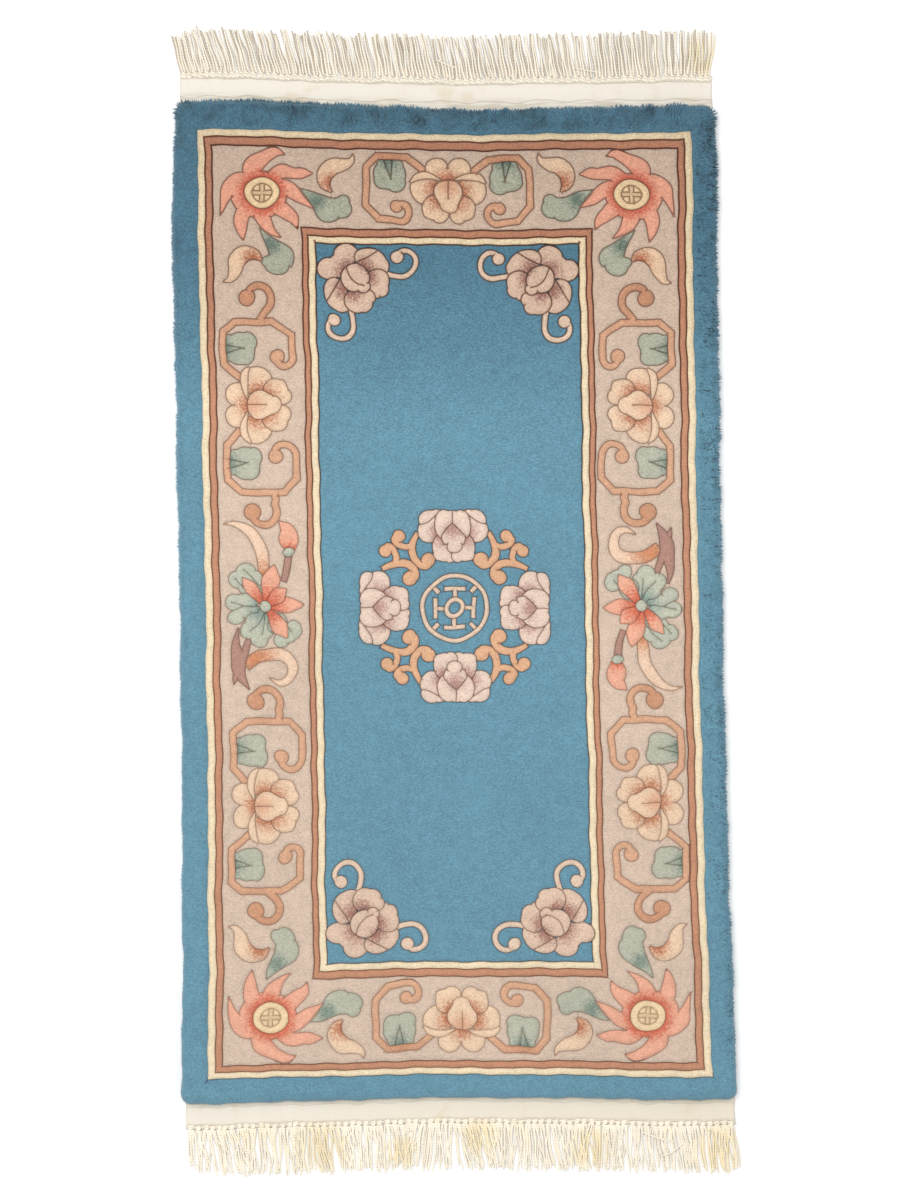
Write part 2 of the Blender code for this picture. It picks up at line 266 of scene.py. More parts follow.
def smooth_path(points, values, step=2.4):
    """A smooth line through given points, with a value, such as a width, that changes along it."""
    rows = np.column_stack((np.array(points, float), np.array(values, float)))
    rows = np.vstack((2 * rows[0] - rows[1], rows, 2 * rows[-1] - rows[-2]))
    fine = []
    for a, b, c, d in zip(rows, rows[1:], rows[2:], rows[3:]):
        for t in np.arange(0, 1, 0.05):
            curve = 2 * b + (c - a) * t + (2 * a - 5 * b + 4 * c - d) * t * t
            fine.append((curve + (3 * b - a - 3 * c + d) * t**3) / 2)
    fine.append(rows[-2])
    fine = np.array(fine)
    lengths = np.hypot(*np.diff(fine[:, :2], axis=0).T)
    reached = np.concatenate(((0.0,), np.cumsum(lengths)))
    places = np.linspace(0, reached[-1], max(3, round(reached[-1] / step)))
    columns = [np.interp(places, reached, fine[:, k]) for k in range(3)]
    return np.column_stack(columns[:2]), np.maximum(columns[2], 0.3)


def stroke(path, widths):
    """The outline of a ribbon of the given widths along a path, with mitred corners."""
    path = np.asarray(path, float)
    widths = np.broadcast_to(np.asarray(widths, float), len(path))
    steps = np.diff(path, axis=0)
    steps /= np.maximum(np.hypot(*steps.T)[:, None], 1e-9)
    before = np.vstack((steps[:1], steps))
    after = np.vstack((steps, steps[-1:]))
    along = before + after
    along /= np.hypot(*along.T)[:, None]
    mitre = 1 / np.maximum((along * before).sum(1), 0.5)
    side = np.column_stack((-along[:, 1], along[:, 0])) * (widths / 2 * mitre)[:, None]
    return np.vstack((path + side, (path - side)[::-1]))


def ribbon(points, widths):
    """The outline of a ribbon that changes its width along a smooth line."""
    return stroke(*smooth_path(points, widths))


TWIN_FAMILIES = 50  # how much the families of a motif's second half are numbered above the first's
MOTIF_FAMILIES = 200  # and those of one motif above the last one's


class Patch:
    """One area of wool: its outline, its colour, and the deeper colour it takes near its root.

    The deeper colour is full within the core round the root, and it has faded out at the reach. Patches
    of one family run together without a groove between them. A patch with no colour is a carved crease.
    """

    def __init__(self, outline, colour=None, deep=None, root=(0, 0), reach=1.0, family=0, core=0.0):
        self.outline = np.asarray(outline, float)
        self.colour = colour
        self.deep = deep or colour
        self.root = np.array(root, float)
        self.reach = reach
        self.family = family
        self.core = core

    def moved(self, change, size=1.0, family_shift=0):
        """The patch with its places changed, its reach and core scaled, and its family numbered anew."""
        return Patch(
            change(self.outline),
            self.colour,
            self.deep,
            change(self.root[None])[0],
            self.reach * size,
            self.family + family_shift,
            self.core * size,
        )


def crease(*points):
    """A carved line through a petal or leaf."""
    path, _ = smooth_path(points, [1.0] * len(points))
    return Patch(path)


def family(number, outlines, colour, deep=None, root=(0, 0), reach=1.0, core=0.0):
    """Patches that run together, of one colour and with one root."""
    return [Patch(o, colour, deep, root, reach, number, core) for o in outlines]


def twins(patches, change):
    """The same patches in a changed place, as families of their own."""
    return [p.moved(change, family_shift=TWIN_FAMILIES) for p in patches]


def across_middle(points):
    """The mirror image across the line x = 0."""
    return points * (-1, 1)


def across_diagonal(points):
    """The mirror image across the line y = -x."""
    return -points[:, ::-1]


def unchanged(points):
    """The points as they are."""
    return points


def border_peony():
    """A peony seen half from the side, its outer pair of petals towards +y and its bud towards -y."""
    pair = [ellipse(-15.6, 30.8, 15.7, 15.2), ellipse(15.4, 30.8, 15.9, 15.2), ellipse(0, 20, 14, 10)]
    patches = family(1, pair, PEACH, PEACH_DEEP, (0, 13), 27)
    side = family(2, [ellipse(-33, 2, 19.8, 21.5)], PEACH, PEACH_DEEP, (-16, 1), 28)
    fold = ribbon(((-52, 11), (-42, 18.5), (-27, 20), (-9, 15.5)), (3, 10, 9.5, 2))
    side += family(3, [fold], PEACH)
    lower = [ellipse(-20, -24, 16.5, 17.5), ellipse(-12.8, -33.5, 12, 12), ellipse(-26, -31, 9.5, 9)]
    side += family(4, lower, PEACH, PEACH_DEEP, (-12, -8), 31)
    patches += side + twins(side, across_middle)
    bud = [ellipse(0, -2, 20.5, 17.8), ellipse(0, -19.5, 12.4, 11.5), ellipse(0, -11, 16, 13)]
    patches += family(9, bud, PEACH, PEACH_BUD_DEEP, (0, 8), 26)
    return patches + [crease((0.5, 15), (0, 3), (0.4, -9))]


BAR_WIDTH = 9.6
STEM_WIDTH = 10.2
LEAF_VEINS = ((-7.5, 21), (1, -5), (5.0, 21))


def scroll(corners, curl, ball):
    """A scroll of one ribbon through octagon corners, that ends in a curl closed by a round ball."""
    curl_points = spiral(*curl)
    path = np.vstack((np.array(corners, float), curl_points))
    tip = curl_points[-1]
    return [stroke(path, BAR_WIDTH), ellipse(*tip, ball, ball)]


def hanging_leaf(x, y, turn):
    """A broad leaf of two lobes with a narrow V of veins, that hangs from a scroll's bar."""
    lobes = [
        ellipse(0, 0, 22.5, 21),
        ellipse(-10, -7, 12.5, 13.5),
        ellipse(9, -12, 13.5, 12),
        ellipse(1, 14, 18.5, 10.5),
    ]
    patches = family(1, lobes, LEAF, LEAF_DEEP, (0, 22), 24)
    left, meeting, right = LEAF_VEINS
    patches += [crease(left, meeting), crease(right, meeting)]
    return [p.moved(lambda points: turned(points, turn) + (x, y)) for p in patches]


def end_scroll():
    """The scroll and its leaf on the left of an end peony."""
    corners = ((-30, 24), (-58, 46.6), (-99, 48.0), (-114.5, 32), (-114.5, -20.5), (-97.5, -39), (-70, -43))
    curl = (-68, -28, 15.6, -78, 7.6, 128)
    patches = hanging_leaf(-82, 22, 0)
    patches += family(21, scroll(corners, curl, 8.6), SCROLL, SCROLL_DEEP, (-80, 48), 40)
    return patches


def side_scrolls(lower_end=False):
    """The scrolls above and below a left side peony, each with its leaf and its outer curl."""
    rise, sweep = (139.5, 20.5) if lower_end else (146.5, 22)
    corners = ((-16, 34), (-41.7, 56.6), (-41.7, 101), (-25.7, 114), (27, 114.6), (53.6, 96.6), (53.6, 70))
    upper = scroll(corners, (42, 64, 11.6, 0, 9.6, -196), 9.8)
    stem = np.vstack((((8, 115),), spiral(5, rise, sweep, -52, 12.5, 172, 1.6)))
    upper += [stroke(stem, STEM_WIDTH), ellipse(*stem[-1], 11.4, 11.4)]
    corners = ((-20, -34), (-38.5, -55.5), (-38.5, -104), (-20, -120.6), (40, -120.6), (57, -102), (57, -80))
    lower = scroll(corners, (39.5, -69.5, 17.4, -6, 11, 190, 1.4), 9.8)
    stem = np.vstack((((24, -121), (27, -130)), spiral(8, -148, 20.5, 32, 13.5, -180, 1.3)))
    lower += [stroke(stem, STEM_WIDTH), ellipse(*stem[-1], 11.8, 11.8)]
    patches = hanging_leaf(-19, 77.5, 90) + twins(hanging_leaf(-14, -80.5, 90), unchanged)
    patches += family(21, upper, SCROLL, SCROLL_DEEP, (0, 150), 60)
    patches += family(22, lower, SCROLL, SCROLL_DEEP, (0, -150), 40)
    return patches


STAR_PETALS = (  # middle line of each petal of the corner flower, from root to tip, and its widths there
    (((-10, 15), (-13, 34), (4, 49), (20, 56), (33, 53)), (26, 27, 18, 13.5, 1)),
    (((10, 18), (27, 29.5), (45, 28), (57, 29.8), (70.5, 29)), (20, 19.5, 16, 14, 1)),
    (((15, 10), (28, 9), (41, 3), (54, -7.5), (72, -19.5)), (22, 21, 20, 13, 1)),
    (((12, -8), (21, -17), (34.5, -27), (45, -36), (50, -49)), (24, 24, 20, 14, 1)),
    (((-3, -16), (-1.5, -27), (4.5, -41), (13.5, -52), (26.5, -61)), (24, 24, 20, 11, 1)),
    (((-18, -10), (-23.5, -22), (-29, -38), (-28.4, -53), (-25.5, -66)), (22, 22, 20, 13, 1)),
    (((-15, 12), (-31, 13), (-44, 6), (-51, -8), (-58.5, -32)), (26, 28, 24, 13, 1)),
)


def corner_flower(long_pairs=False):
    """The upper left star flower and its two pairs of leaf and bud, the lower pair short or long."""
    short_leaf = [
        ribbon(((-3.5, -50), (8, -64), (18, -76), (26, -88), (25, -98)), (1, 12, 24, 35, 30)),
        ellipse(20, -98, 17, 15.5),
        ellipse(31, -88, 12.5, 13),
        ellipse(8, -95.5, 9, 7.5),
    ]
    long_leaf = [
        ribbon(((-7, -53), (0, -66), (11, -79), (20, -91), (20, -102)), (1, 12, 24, 34, 31)),
        ellipse(18, -107.5, 14.5, 17.5),
        ellipse(25, -96, 12, 13),
        ellipse(8, -113, 8.5, 9.5),
    ]
    bud = ribbon(
        ((-1, -94), (-10, -86), (-23.6, -84.4), (-35.4, -93.8), (-39.7, -109), (-46, -120.5), (-55.5, -124)),
        (3, 15, 22, 23, 17.5, 9, 1),
    )
    short = family(31, [bud], PEACH, PEACH_DEEP, (-13, -93), 25)
    short += family(32, short_leaf, LEAF, LEAF_DEEP, (12, -72), 21)
    long = family(31, [bud + (-3, -3)], PEACH, PEACH_DEEP, (-16, -96), 25)
    long += family(32, long_leaf, LEAF, LEAF_DEEP, (8, -76), 21)
    patches = (long if long_pairs else short) + twins(long, across_diagonal)
    petals = [ribbon(points, widths) for points, widths in STAR_PETALS]
    petals.append(ellipse(-4, -3, 39, 33))
    patches += family(33, petals, CORAL, CORAL_DEEP, (0, 0), 42, core=21)
    patches += family(34, [ellipse(0, 0, 24.3, 21.6)], DISC, PEACH_BUD_DEEP, (60, -60), 40)
    return patches + round_fret(0, 0, 13.6, 12.6)


def round_fret(x, y, across, along):
    """A plain circle with a cross in it, raised in the middle of a disc."""
    bar = 3.2
    patches = family(35, [ellipse(x, y, across, along)], DISC)
    cross = []
    for turn in (0, 90, 180, 270):
        reach = along if turn % 180 else across
        cross += turned(np.array(((reach, -bar), (reach, bar), (bar, bar))), turn).tolist()
    return patches + family(36, [np.array(cross) + (x, y)], FRET)


def side_spray():
    """The lotus spray in the middle of the left border, round its small teal centre."""
    upper = ((-55, 113), (-38, 114), (-19, 103), (-5, 82), (-1, 58), (1, 34))
    lower = ((-26, -82), (-8, -69.5), (13, -65.5), (30, -70), (38.5, -84), (34, -99), (21, -105), (6, -99))
    blade = ribbon(upper, (1, 8, 14, 17, 16, 10))
    patches = family(41, [blade], RIBBON, RIBBON_DEEP, (0, 38), 42)
    blade = ribbon(lower, (15, 17, 16.5, 16, 15, 12, 9, 1))
    patches += family(42, [blade], RIBBON, RIBBON_DEEP, (-14, -74), 48)
    trunk = [
        ribbon(((-38, -31), (-40.5, -54), (-37, -80), (-33, -97), (-21.5, -116)), (2, 12, 20, 14, 1)),
        ribbon(((-21.5, -46), (-29.5, -67), (-34, -84)), (8, 10.5, 11)),
        ribbon(((-36, -88), (-40, -98), (-42.5, -108)), (11, 8, 1.5)),
    ]
    patches += family(43, trunk, STEM)
    patches += family(44, [ribbon(((35, 70), (31.5, 53), (26, 34)), (10.5, 9.5, 8))], STEM)
    bud = [ribbon(((36, 77), (37.5, 92), (33, 106), (21, 117.5)), (15, 23, 19, 1))]
    bud.append(ellipse(34.5, 94, 12, 15))
    patches += family(45, bud, CORAL, CORAL_DEEP, (35, 76), 22)
    patches += family(46, [ellipse(34.8, 75, 8.4, 6.3)], TEAL_LEAF, TEAL_LEAF_DEEP, (34, 62), 14)
    upper_leaf = (
        (-25, 45, 15, 15),
        (-38, 37, 11.5, 12),
        (-13, 38, 12, 12),
        (-23, 28, 14, 13),
        (-14, 20, 10, 12),
    )
    left_leaf = ((-42, 4.5, 14, 11.5), (-40.5, -16, 11.5, 9.8), (-25, 8.3, 17, 10.6), (-24, -6, 18, 10.6))
    lower_leaf = (
        (-23, -34, 11.5, 12),
        (-7.5, -44.5, 12.4, 12),
        (-13, -22, 15, 14),
        (2, -31, 11, 14),
        (-3, -14, 9, 12),
    )
    right_leaf = ((23.5, -46.5, 11, 10.6), (39, -33, 11.3, 13.5), (31, -38, 14, 13), (17, -24, 14, 15))
    for number, lobes in enumerate((upper_leaf, left_leaf, lower_leaf, right_leaf)):
        outlines = [ellipse(*lobe) for lobe in lobes]
        patches += family(60 + number, outlines, TEAL_LEAF, TEAL_LEAF_DEEP, (-4, -3), 33)
    patches += [
        crease((-27, 50), (-17, 41), (-8, 30)),
        crease((-39, 38), (-30, 27)),
        crease((-47, 4), (-30, 1), (-8, 0)),
        crease((-46, -8), (-30, 0)),
        crease((-3, -36), (-2, -20), (-1, -8)),
        crease((-20, -34), (-9, -22), (-3, -10)),
        crease((36, -34), (29, -24)),
    ]
    petals = (  # tip x and y, greatest width, place of the widest part along the petal
        (-29.5, 40, 18, 0.62),
        (14.5, 57, 25, 0.60),
        (53.5, 3, 22, 0.55),
        (31, -44, 22, 0.62),
        (30.5, 24, 22, 0.62),
    )
    for number, (x, y, width, widest) in enumerate(petals):
        tip = np.array((x, y), float)
        middle = (tip * 0.12, tip * widest, tip * 0.86, tip)
        outline = ribbon(middle, (width * 0.4, width, width * 0.52, 1))
        patches += family(70 + number, [outline], CORAL, CORAL_DEEP, tip * 0.05, 38, core=5)
    return patches + family(80, [ellipse(0, 0, 8, 7.8)], TEAL_LEAF)


def field_peony():
    """The mauve peony and its two tendrils in the upper left corner of the blue field."""
    curl = spiral(65, 23, 20.4, -100, 9.4, 133, 3.0)
    tendril_path = np.vstack((((36, 10), (44, 6.4), (53, 4.0)), curl))
    tendril = family(91, [stroke(tendril_path, 7.8), ellipse(*curl[-1], 9.0, 8.8)], TENDRIL)
    patches = tendril + twins(tendril, across_diagonal)
    pair = [ellipse(-12, 33, 17.5, 14.8), ellipse(-36.5, 13, 16.5, 15), ellipse(-20, 18, 17.5, 17.5)]
    patches += family(92, pair, MAUVE_PINK, MAUVE_PINK_DEEP, (-10, 10), 28)
    high = [ellipse(22, 26, 23, 16.5, -16), ellipse(33, 17.5, 14.5, 15)]
    half = family(93, high, MAUVE_PINK, MAUVE_PINK_DEEP, (14, 15), 23)
    half.append(crease((3, 22), (14, 28), (32, 38.5)))
    low = [ellipse(31, -3, 17, 17), ellipse(36, -13, 11, 12), ellipse(27, -18, 11, 10.5)]
    half += family(94, low, MAUVE_PINK, MAUVE_PINK_DEEP, (18, 2), 22)
    patches += half + twins(half, across_diagonal)
    bud = [ellipse(0, 1, 19.8, 19.2), ellipse(12.6, -11.8, 9, 8.8)]
    patches += family(99, bud, MAUVE_PINK, MAUVE_PINK_DEEP, (20, 22), 26)
    return patches + [crease((-11.7, 14), (-6.4, 1), (3.2, -7.5), (12, -10))]


def medallion_peony():
    """A half peony of the medallion, flat on its outer side, which is +y."""
    outer = [ellipse(-33, 5, 16, 17), ellipse(-32, 18, 15.5, 13.5), ellipse(-22, 20, 13, 11.6)]
    side = family(1, outer, SHELL, SHELL_DEEP, (-19, 2), 23)
    side.append(crease((-47, 12), (-36, 15), (-22, 25)))
    lower = [ellipse(-14, -18.5, 15.5, 19), ellipse(-5.5, -30, 8.4, 9), ellipse(-19, -27, 9.5, 9.5)]
    side += family(2, lower, SHELL, SHELL_DEEP, (-15, -4), 24)
    patches = side + twins(side, across_middle)
    top = [ellipse(-11, 12, 14.5, 19.5), ellipse(11, 12, 14.5, 19.5), ellipse(0, 20, 14, 11.2)]
    patches += family(3, top, SHELL, SHELL_DEEP, (0, -2), 24)
    patches.append(crease((0.5, 31), (0, 22), (0.3, 12)))
    bud = [ribbon(((0, 13.5), (0, 7), (0, -4), (0, -14)), (1, 15, 32, 27)), ellipse(1, -17.5, 10.5, 8.8)]
    return patches + family(9, bud, SHELL, SHELL_DEEP, (0, 6), 22)


def medallion_scrolls():
    """The forked scroll on the left of the medallion's upper peony, and its twin above the left peony."""
    outer = ((-56, 86), (-65, 83), (-75.5, 86), (-81.5, 93.5), (-76, 100))
    inner = ((-49, 104), (-54.5, 92), (-57.5, 80), (-55, 67), (-46, 58.5), (-37, 59), (-34, 66))
    shapes = [ribbon(outer, [9.4] * 5), ribbon(inner, (7, 9.5, 11, 11.5, 11.5, 11, 10))]
    shapes += [ellipse(-74.5, 98, 8.9, 8.9), ellipse(-36, 65.5, 10.2, 10)]
    patches = family(11, shapes, MEDALLION_SCROLL)
    return patches + twins(patches, lambda points: across_diagonal(points) + (3.0, 3.5))


def centre_roundel():
    """A plain fret in the medallion's middle: a ring, a smaller ring, and the same bars in each quarter."""
    bar = 6.4
    patches = family(1, [ellipse(0, 0, 48.2, 48.2)], TENDRIL)
    patches += family(2, [ellipse(0, 0, 41.6, 41.6)], BLUE)
    shapes = []
    for quarter in range(4):
        foot = np.array(((12, 0), (26, 0)), float)
        head = np.array(((26.5, -15), (26.5, 15)), float)
        spoke = np.array(((30, 30), (22, 22)), float) * 0.98
        shapes += [turned(stroke(part, bar), 90 * quarter) for part in (foot, head, spoke)]
    patches += family(3, shapes, TENDRIL)
    patches += family(4, [ellipse(0, 0, 14.6, 14.6)], TENDRIL)
    return patches + family(5, [ellipse(0, 0, 8.0, 8.0)], BLUE)


class Design:
    """The whole face as patches in order, the later ones over the earlier, in metres of the straight rug."""

    def __init__(self):
        self.patches = []
        self.next_family = 0

    def add_rectangle(self, half_sizes, colour, shift=(0.0, 0.0), lift=0.0):
        """A stripe's outline and all within it, its lower left corner lifted a little."""
        corners = np.array(((1, 1), (-1, 1), (-1, -1), (1, -1)), float) * half_sizes
        corners[2, 1] += lift
        self.next_family += MOTIF_FAMILIES
        self.patches.append(Patch(corners + shift, colour, family=self.next_family))

    def place(self, patches, x, y, turn=0.0, flip_x=1, flip_y=1):
        """Lays a motif at a place of the design, all in millimetres, turned and then mirrored."""

        def change(points):
            """The motif's points in their place on the rug, in metres."""
            return (turned(points, turn) * (flip_x, flip_y) + (x, y)) * MM

        self.next_family += MOTIF_FAMILIES
        self.patches += [patch.moved(change, MM, self.next_family) for patch in patches]


# Places of the motifs, in millimetres. The weaver set each a little astray.
END_PEONIES = ((4.8, 576.4), (3.2, -577.8))
END_SCROLLS = ((5.5, 576.0), (2.7, 574.2), (0.4, -570.3), (5.3, -573.6))
END_SCROLL_SIDES = (1, -1, 1, -1)
SIDE_PEONIES = ((-264.2, 275.6), (265.6, 276.4), (-262.1, -278.5), (269.1, -275.7))
SIDE_SCROLLS = ((-269.1, 275.7), (268.7, 277.1), (-268.1, -282.0), (274.7, -281.2))
CORNER_FLOWERS = ((-253.7, 568.4), (257.2, 570.0), (-256.5, -571.8), (257.9, -571.4))
FIELD_PEONIES = ((-126.3, 453.4), (131.9, 451.8), (-128.4, -442.6), (135.8, -443.4))
SPRAYS = ((-260.1, -2.3), (263.0, -2.3))
MEDALLION = (3.5, -5.0)
SCROLL_RISE = 2.0
MEDALLION_PEONIES = (  # turn, distance from the centre, stretch across and along
    (0, 103.6, 1.00, 1.05),
    (90, 101.2, 1.06, 1.00),
    (180, 99.8, 1.02, 1.00),
    (270, 101.0, 1.06, 1.00),
)


def draw_design():
    """The stripes, the border's motifs, the field's corners and the medallion."""
    design = Design()
    design.add_rectangle(CREAM_OUTER, CREAM, CREAM_SHIFT, lift=2 * CORNER_LIFT)
    design.add_rectangle(RUST_OUTER, RUST, RUST_SHIFT, lift=CORNER_LIFT)
    design.add_rectangle(BAND, BEIGE, UPPER_SHIFT)
    design.add_rectangle(RUST_INNER, RUST, INNER_SHIFT)
    design.add_rectangle(CREAM_INNER, CREAM, INNER_SHIFT)
    design.add_rectangle(FIELD, BLUE, INNER_SHIFT)
    for (x, y), side in zip(END_SCROLLS, END_SCROLL_SIDES):
        design.place(end_scroll(), x, y, flip_x=side, flip_y=math.copysign(1, y))
    for x, y in END_PEONIES:
        design.place(border_peony(), x, y, flip_y=math.copysign(1, y))
    for motif, turn, places, differs_below in (
        (side_scrolls, 0, SIDE_SCROLLS, True),
        (border_peony, 90, SIDE_PEONIES, False),
        (corner_flower, 0, CORNER_FLOWERS, True),
        (field_peony, 0, FIELD_PEONIES, False),
    ):
        for x, y in places:
            patches = motif(y < 0) if differs_below else motif()
            design.place(patches, x, y, turn, -math.copysign(1, x), math.copysign(1, y))
    for x, y in SPRAYS:
        design.place(side_spray(), x, y, 0 if x < 0 else 180)
    x, y = MEDALLION
    for flip_x in (1, -1):
        for flip_y in (1, -1):
            design.place(medallion_scrolls(), x, y + SCROLL_RISE * (flip_y > 0), 0, flip_x, flip_y)
    for turn, reach, across, along in MEDALLION_PEONIES:
        away = turned(np.array((0, reach)), turn)
        flower = [p.moved(lambda points: points * (across, along)) for p in medallion_peony()]
        design.place(flower, x + away[0], y + away[1], turn)
    design.place(centre_roundel(), x, y)
    return design.patches


# The carved mesh

LARGEST_TABLE = 2000000  # of points against edges, that is worked out at once


def inside(points, outline):
    """Which points lie inside a closed outline, counted by how its edges wind round each."""
    low, high = outline.min(0), outline.max(0)
    near = np.flatnonzero(((points >= low) & (points <= high)).all(1))
    result = np.zeros(len(points), bool)
    if len(near) == 0:
        return result
    x0, y0 = outline.T
    x1, y1 = np.roll(outline, -1, axis=0).T
    for part in np.array_split(near, len(near) * len(outline) // LARGEST_TABLE + 1):
        x, y = points[part, 0, None], points[part, 1, None]
        left = (x1 - x0) * (y - y0) - (x - x0) * (y1 - y0)
        up = (y0 <= y) & (y1 > y) & (left > 0)
        down = (y0 > y) & (y1 <= y) & (left < 0)
        result[part] = up.sum(1) != down.sum(1)
    return result


def resampled(line, closed):
    """The line with its long stretches cut into steps."""
    ends = np.roll(line, -1, axis=0) if closed else line[1:]
    points = []
    for start, end in zip(line, ends):
        pieces = max(1, round(float(np.hypot(*(end - start))) / LINE_STEP))
        points += [start + (end - start) * k / pieces for k in range(pieces)]
    if not closed:
        points.append(line[-1])
    return np.array(points)


def visible_lines(patches):
    """The stretches of the patches' edges that no later patch, and no other patch of their family, covers."""
    starts, ends = [], []
    for number, patch in enumerate(patches):
        closed = patch.colour is not None
        line = resampled(patch.outline, closed)
        after = np.roll(line, -1, axis=0) if closed else line[1:]
        before = line if closed else line[:-1]
        middles = (before + after) / 2
        shown = np.ones(len(middles), bool)
        low, high = middles.min(0), middles.max(0)
        for other_number, other in enumerate(patches):
            covers = other_number > number or (closed and other.family == patch.family)
            if other_number == number or not covers or other.colour is None:
                continue
            if (other.low > high).any() or (other.high < low).any():
                continue
            shown &= ~inside(middles, other.outline)
        starts.append(before[shown])
        ends.append(after[shown])
    return np.vstack(starts), np.vstack(ends)


def kd_tree(points):
    """A tree that finds the nearest of these points."""
    tree = KDTree(len(points))
    for k, (x, y) in enumerate(points):
        tree.insert((x, y, 0), k)
    tree.balance()
    return tree


def clear_of(tree, points, distance):
    """The points that lie at least this far from all points of the tree."""
    kept = [p for p in points if tree.find((p[0], p[1], 0))[2] >= distance]
    return np.array(kept).reshape(-1, 2)


def thinned(points, distance):
    """The points without those that lie too near an earlier one, by squares of a grid."""
    cells = np.floor(points / distance).astype(int)
    _, first = np.unique(cells, axis=0, return_index=True)
    return points[np.sort(first)]


def hexagon_grid(half_width, half_length, step):
    """Points a step apart over a rectangle, each row shifted by half a step, and each a little astray."""
    chance = np.random.default_rng(RANDOM_SEED)
    xs = np.arange(-half_width, half_width, step)
    ys = np.arange(-half_length, half_length, step * math.sqrt(3) / 2)
    grid = np.array([(x + (row % 2) * step / 2, y) for row, y in enumerate(ys) for x in xs])
    return grid + chance.uniform(-GRID_STRAY, GRID_STRAY, grid.shape) * step


def rim_ring(inset, step=RIM_STEP):
    """Points round the straight rug's plan with rounded corners, drawn in by inset."""
    radius = PILE_CORNER
    left, low = np.array(RIM_LOW) + inset + radius
    right, high = np.array(RIM_HIGH) - inset - radius
    ring = []
    for centre, start in (((right, high), 0), ((left, high), 90), ((left, low), 180), ((right, low), 270)):
        for angle in np.radians(start + np.linspace(0, 90, CORNER_POINTS)):
            ring.append(centre + radius * np.array((math.cos(angle), math.sin(angle))))
    ring = np.array(ring)
    points = []
    for start, end in zip(ring, np.roll(ring, -1, axis=0)):
        pieces = max(1, round(float(np.hypot(*(end - start))) / step))
        points += [start + (end - start) * k / pieces for k in range(pieces)]
    points = np.array(points)
    upper = np.interp(points[:, 1], (high, high + radius), (0.0, 1.0))
    points[:, 1] += upper * np.interp(points[:, 0], UPPER_WAVE_PLACES, UPPER_WAVE)
    return points


def loose_rim(ring):
    """The rim pushed in and out by its wool: softly at the lower end, more at the upper and right edges."""
    centre_ward = ring / np.array((HALF_WIDTH, HALF_LENGTH))
    outward = np.sign(ring) * np.abs(centre_ward) ** RIM_SQUARENESS
    outward /= np.hypot(*outward.T)[:, None]
    shaggy = 0.5 + 0.5 * np.clip(ring[:, 1] / HALF_LENGTH + 0.3 * np.sign(ring[:, 0]), -0.7, 1)
    push = [ripple(x, y, 90, 0) + 0.6 * ripple(x, y, 260, 3) for x, y in ring]
    push = np.maximum(np.array(push) * RIM_PUSH * shaggy, -RIM_DENT)
    return ring + outward * push[:, None]


def pile_height(points):
    """The soft unevenness of the pile's top."""
    lumps = [ripple(x, y, 17, 0) + 0.5 * ripple(x, y, 60, 5) for x, y in points]
    return PILE_TOP + LUMP_HEIGHT * np.array(lumps)


def carve_pile(patches):
    """The pile as one closed mesh, with its wool colours and its carved grooves as attributes."""
    for patch in patches:
        patch.low, patch.high = patch.outline.min(0), patch.outline.max(0)
    starts, ends = visible_lines(patches)
    places, index = np.unique(np.round(np.vstack((starts, ends)), 7), axis=0, return_inverse=True)
    index = index.ravel()
    line_edges = np.column_stack((index[: len(starts)], index[len(starts) :]))

    rims = [loose_rim(rim_ring(0.0)) - SHIFT]
    rims += [rim_ring(inset, RIM_STEP * 1.2) - SHIFT for inset, _ in UPPER_RINGS]
    rim_heights = [RIM_HEIGHT] + [height for _, height in UPPER_RINGS]
    lips, fine, plain = fill_points(starts, ends, places, rims)

    sets = [*rims, places, lips, fine, plain]
    firsts = np.cumsum([0] + [len(s) for s in sets])
    straight = np.vstack(sets)
    edges = []
    for k in range(len(rims)):
        ring = np.arange(firsts[k], firsts[k + 1])
        edges += list(zip(ring.tolist(), np.roll(ring, -1).tolist()))
    edges += (line_edges + firsts[3]).tolist()
    rim_loop = list(range(firsts[0], firsts[1]))
    corners, _, faces, origins, _, _ = delaunay_2d_cdt(
        [Vector(p) for p in lie(straight + SHIFT)], edges, [rim_loop], 1, 1e-6
    )

    corners = np.array([tuple(c) for c in corners])
    source = np.array([min(o) if o else firsts[3] for o in origins])
    groove = (source >= firsts[3]) & (source < firsts[4])
    height = pile_height(corners) - GROOVE_DEPTH * groove
    for k, level in enumerate(rim_heights):
        ring = (source >= firsts[k]) & (source < firsts[k + 1])
        height[ring] += level - PILE_TOP

    found = {origin: k for k, group in enumerate(origins) for origin in group}
    upper = [found[k] for k in rim_loop]
    vertices = np.column_stack((corners, height))
    faces = [list(f) for f in faces]
    rim_places = straight[rim_loop] + SHIFT
    for inset, level in LOWER_RINGS:
        ring = lie(rim_places * (1 - inset / HALF_WIDTH, 1 - inset / HALF_LENGTH))
        lower = list(range(len(vertices), len(vertices) + len(ring)))
        vertices = np.vstack((vertices, np.column_stack((ring, np.full(len(ring), level)))))
        for k, under in enumerate(lower):
            after = (k + 1) % len(lower)
            faces.append([upper[k], under, lower[after], upper[after]])
        upper = lower
    faces.append(upper[::-1])
    mesh = new_mesh("pile", vertices, faces)
    weight = line_shade_weight(unlie(vertices[:, :2]) - SHIFT)
    set_attribute(mesh, "weight", "FLOAT", "POINT", weight)
    set_attribute(mesh, "groove", "FLOAT", "POINT", np.append(groove, np.zeros(len(vertices) - len(groove))))
    colour_pile(mesh, vertices, patches)
    return mesh


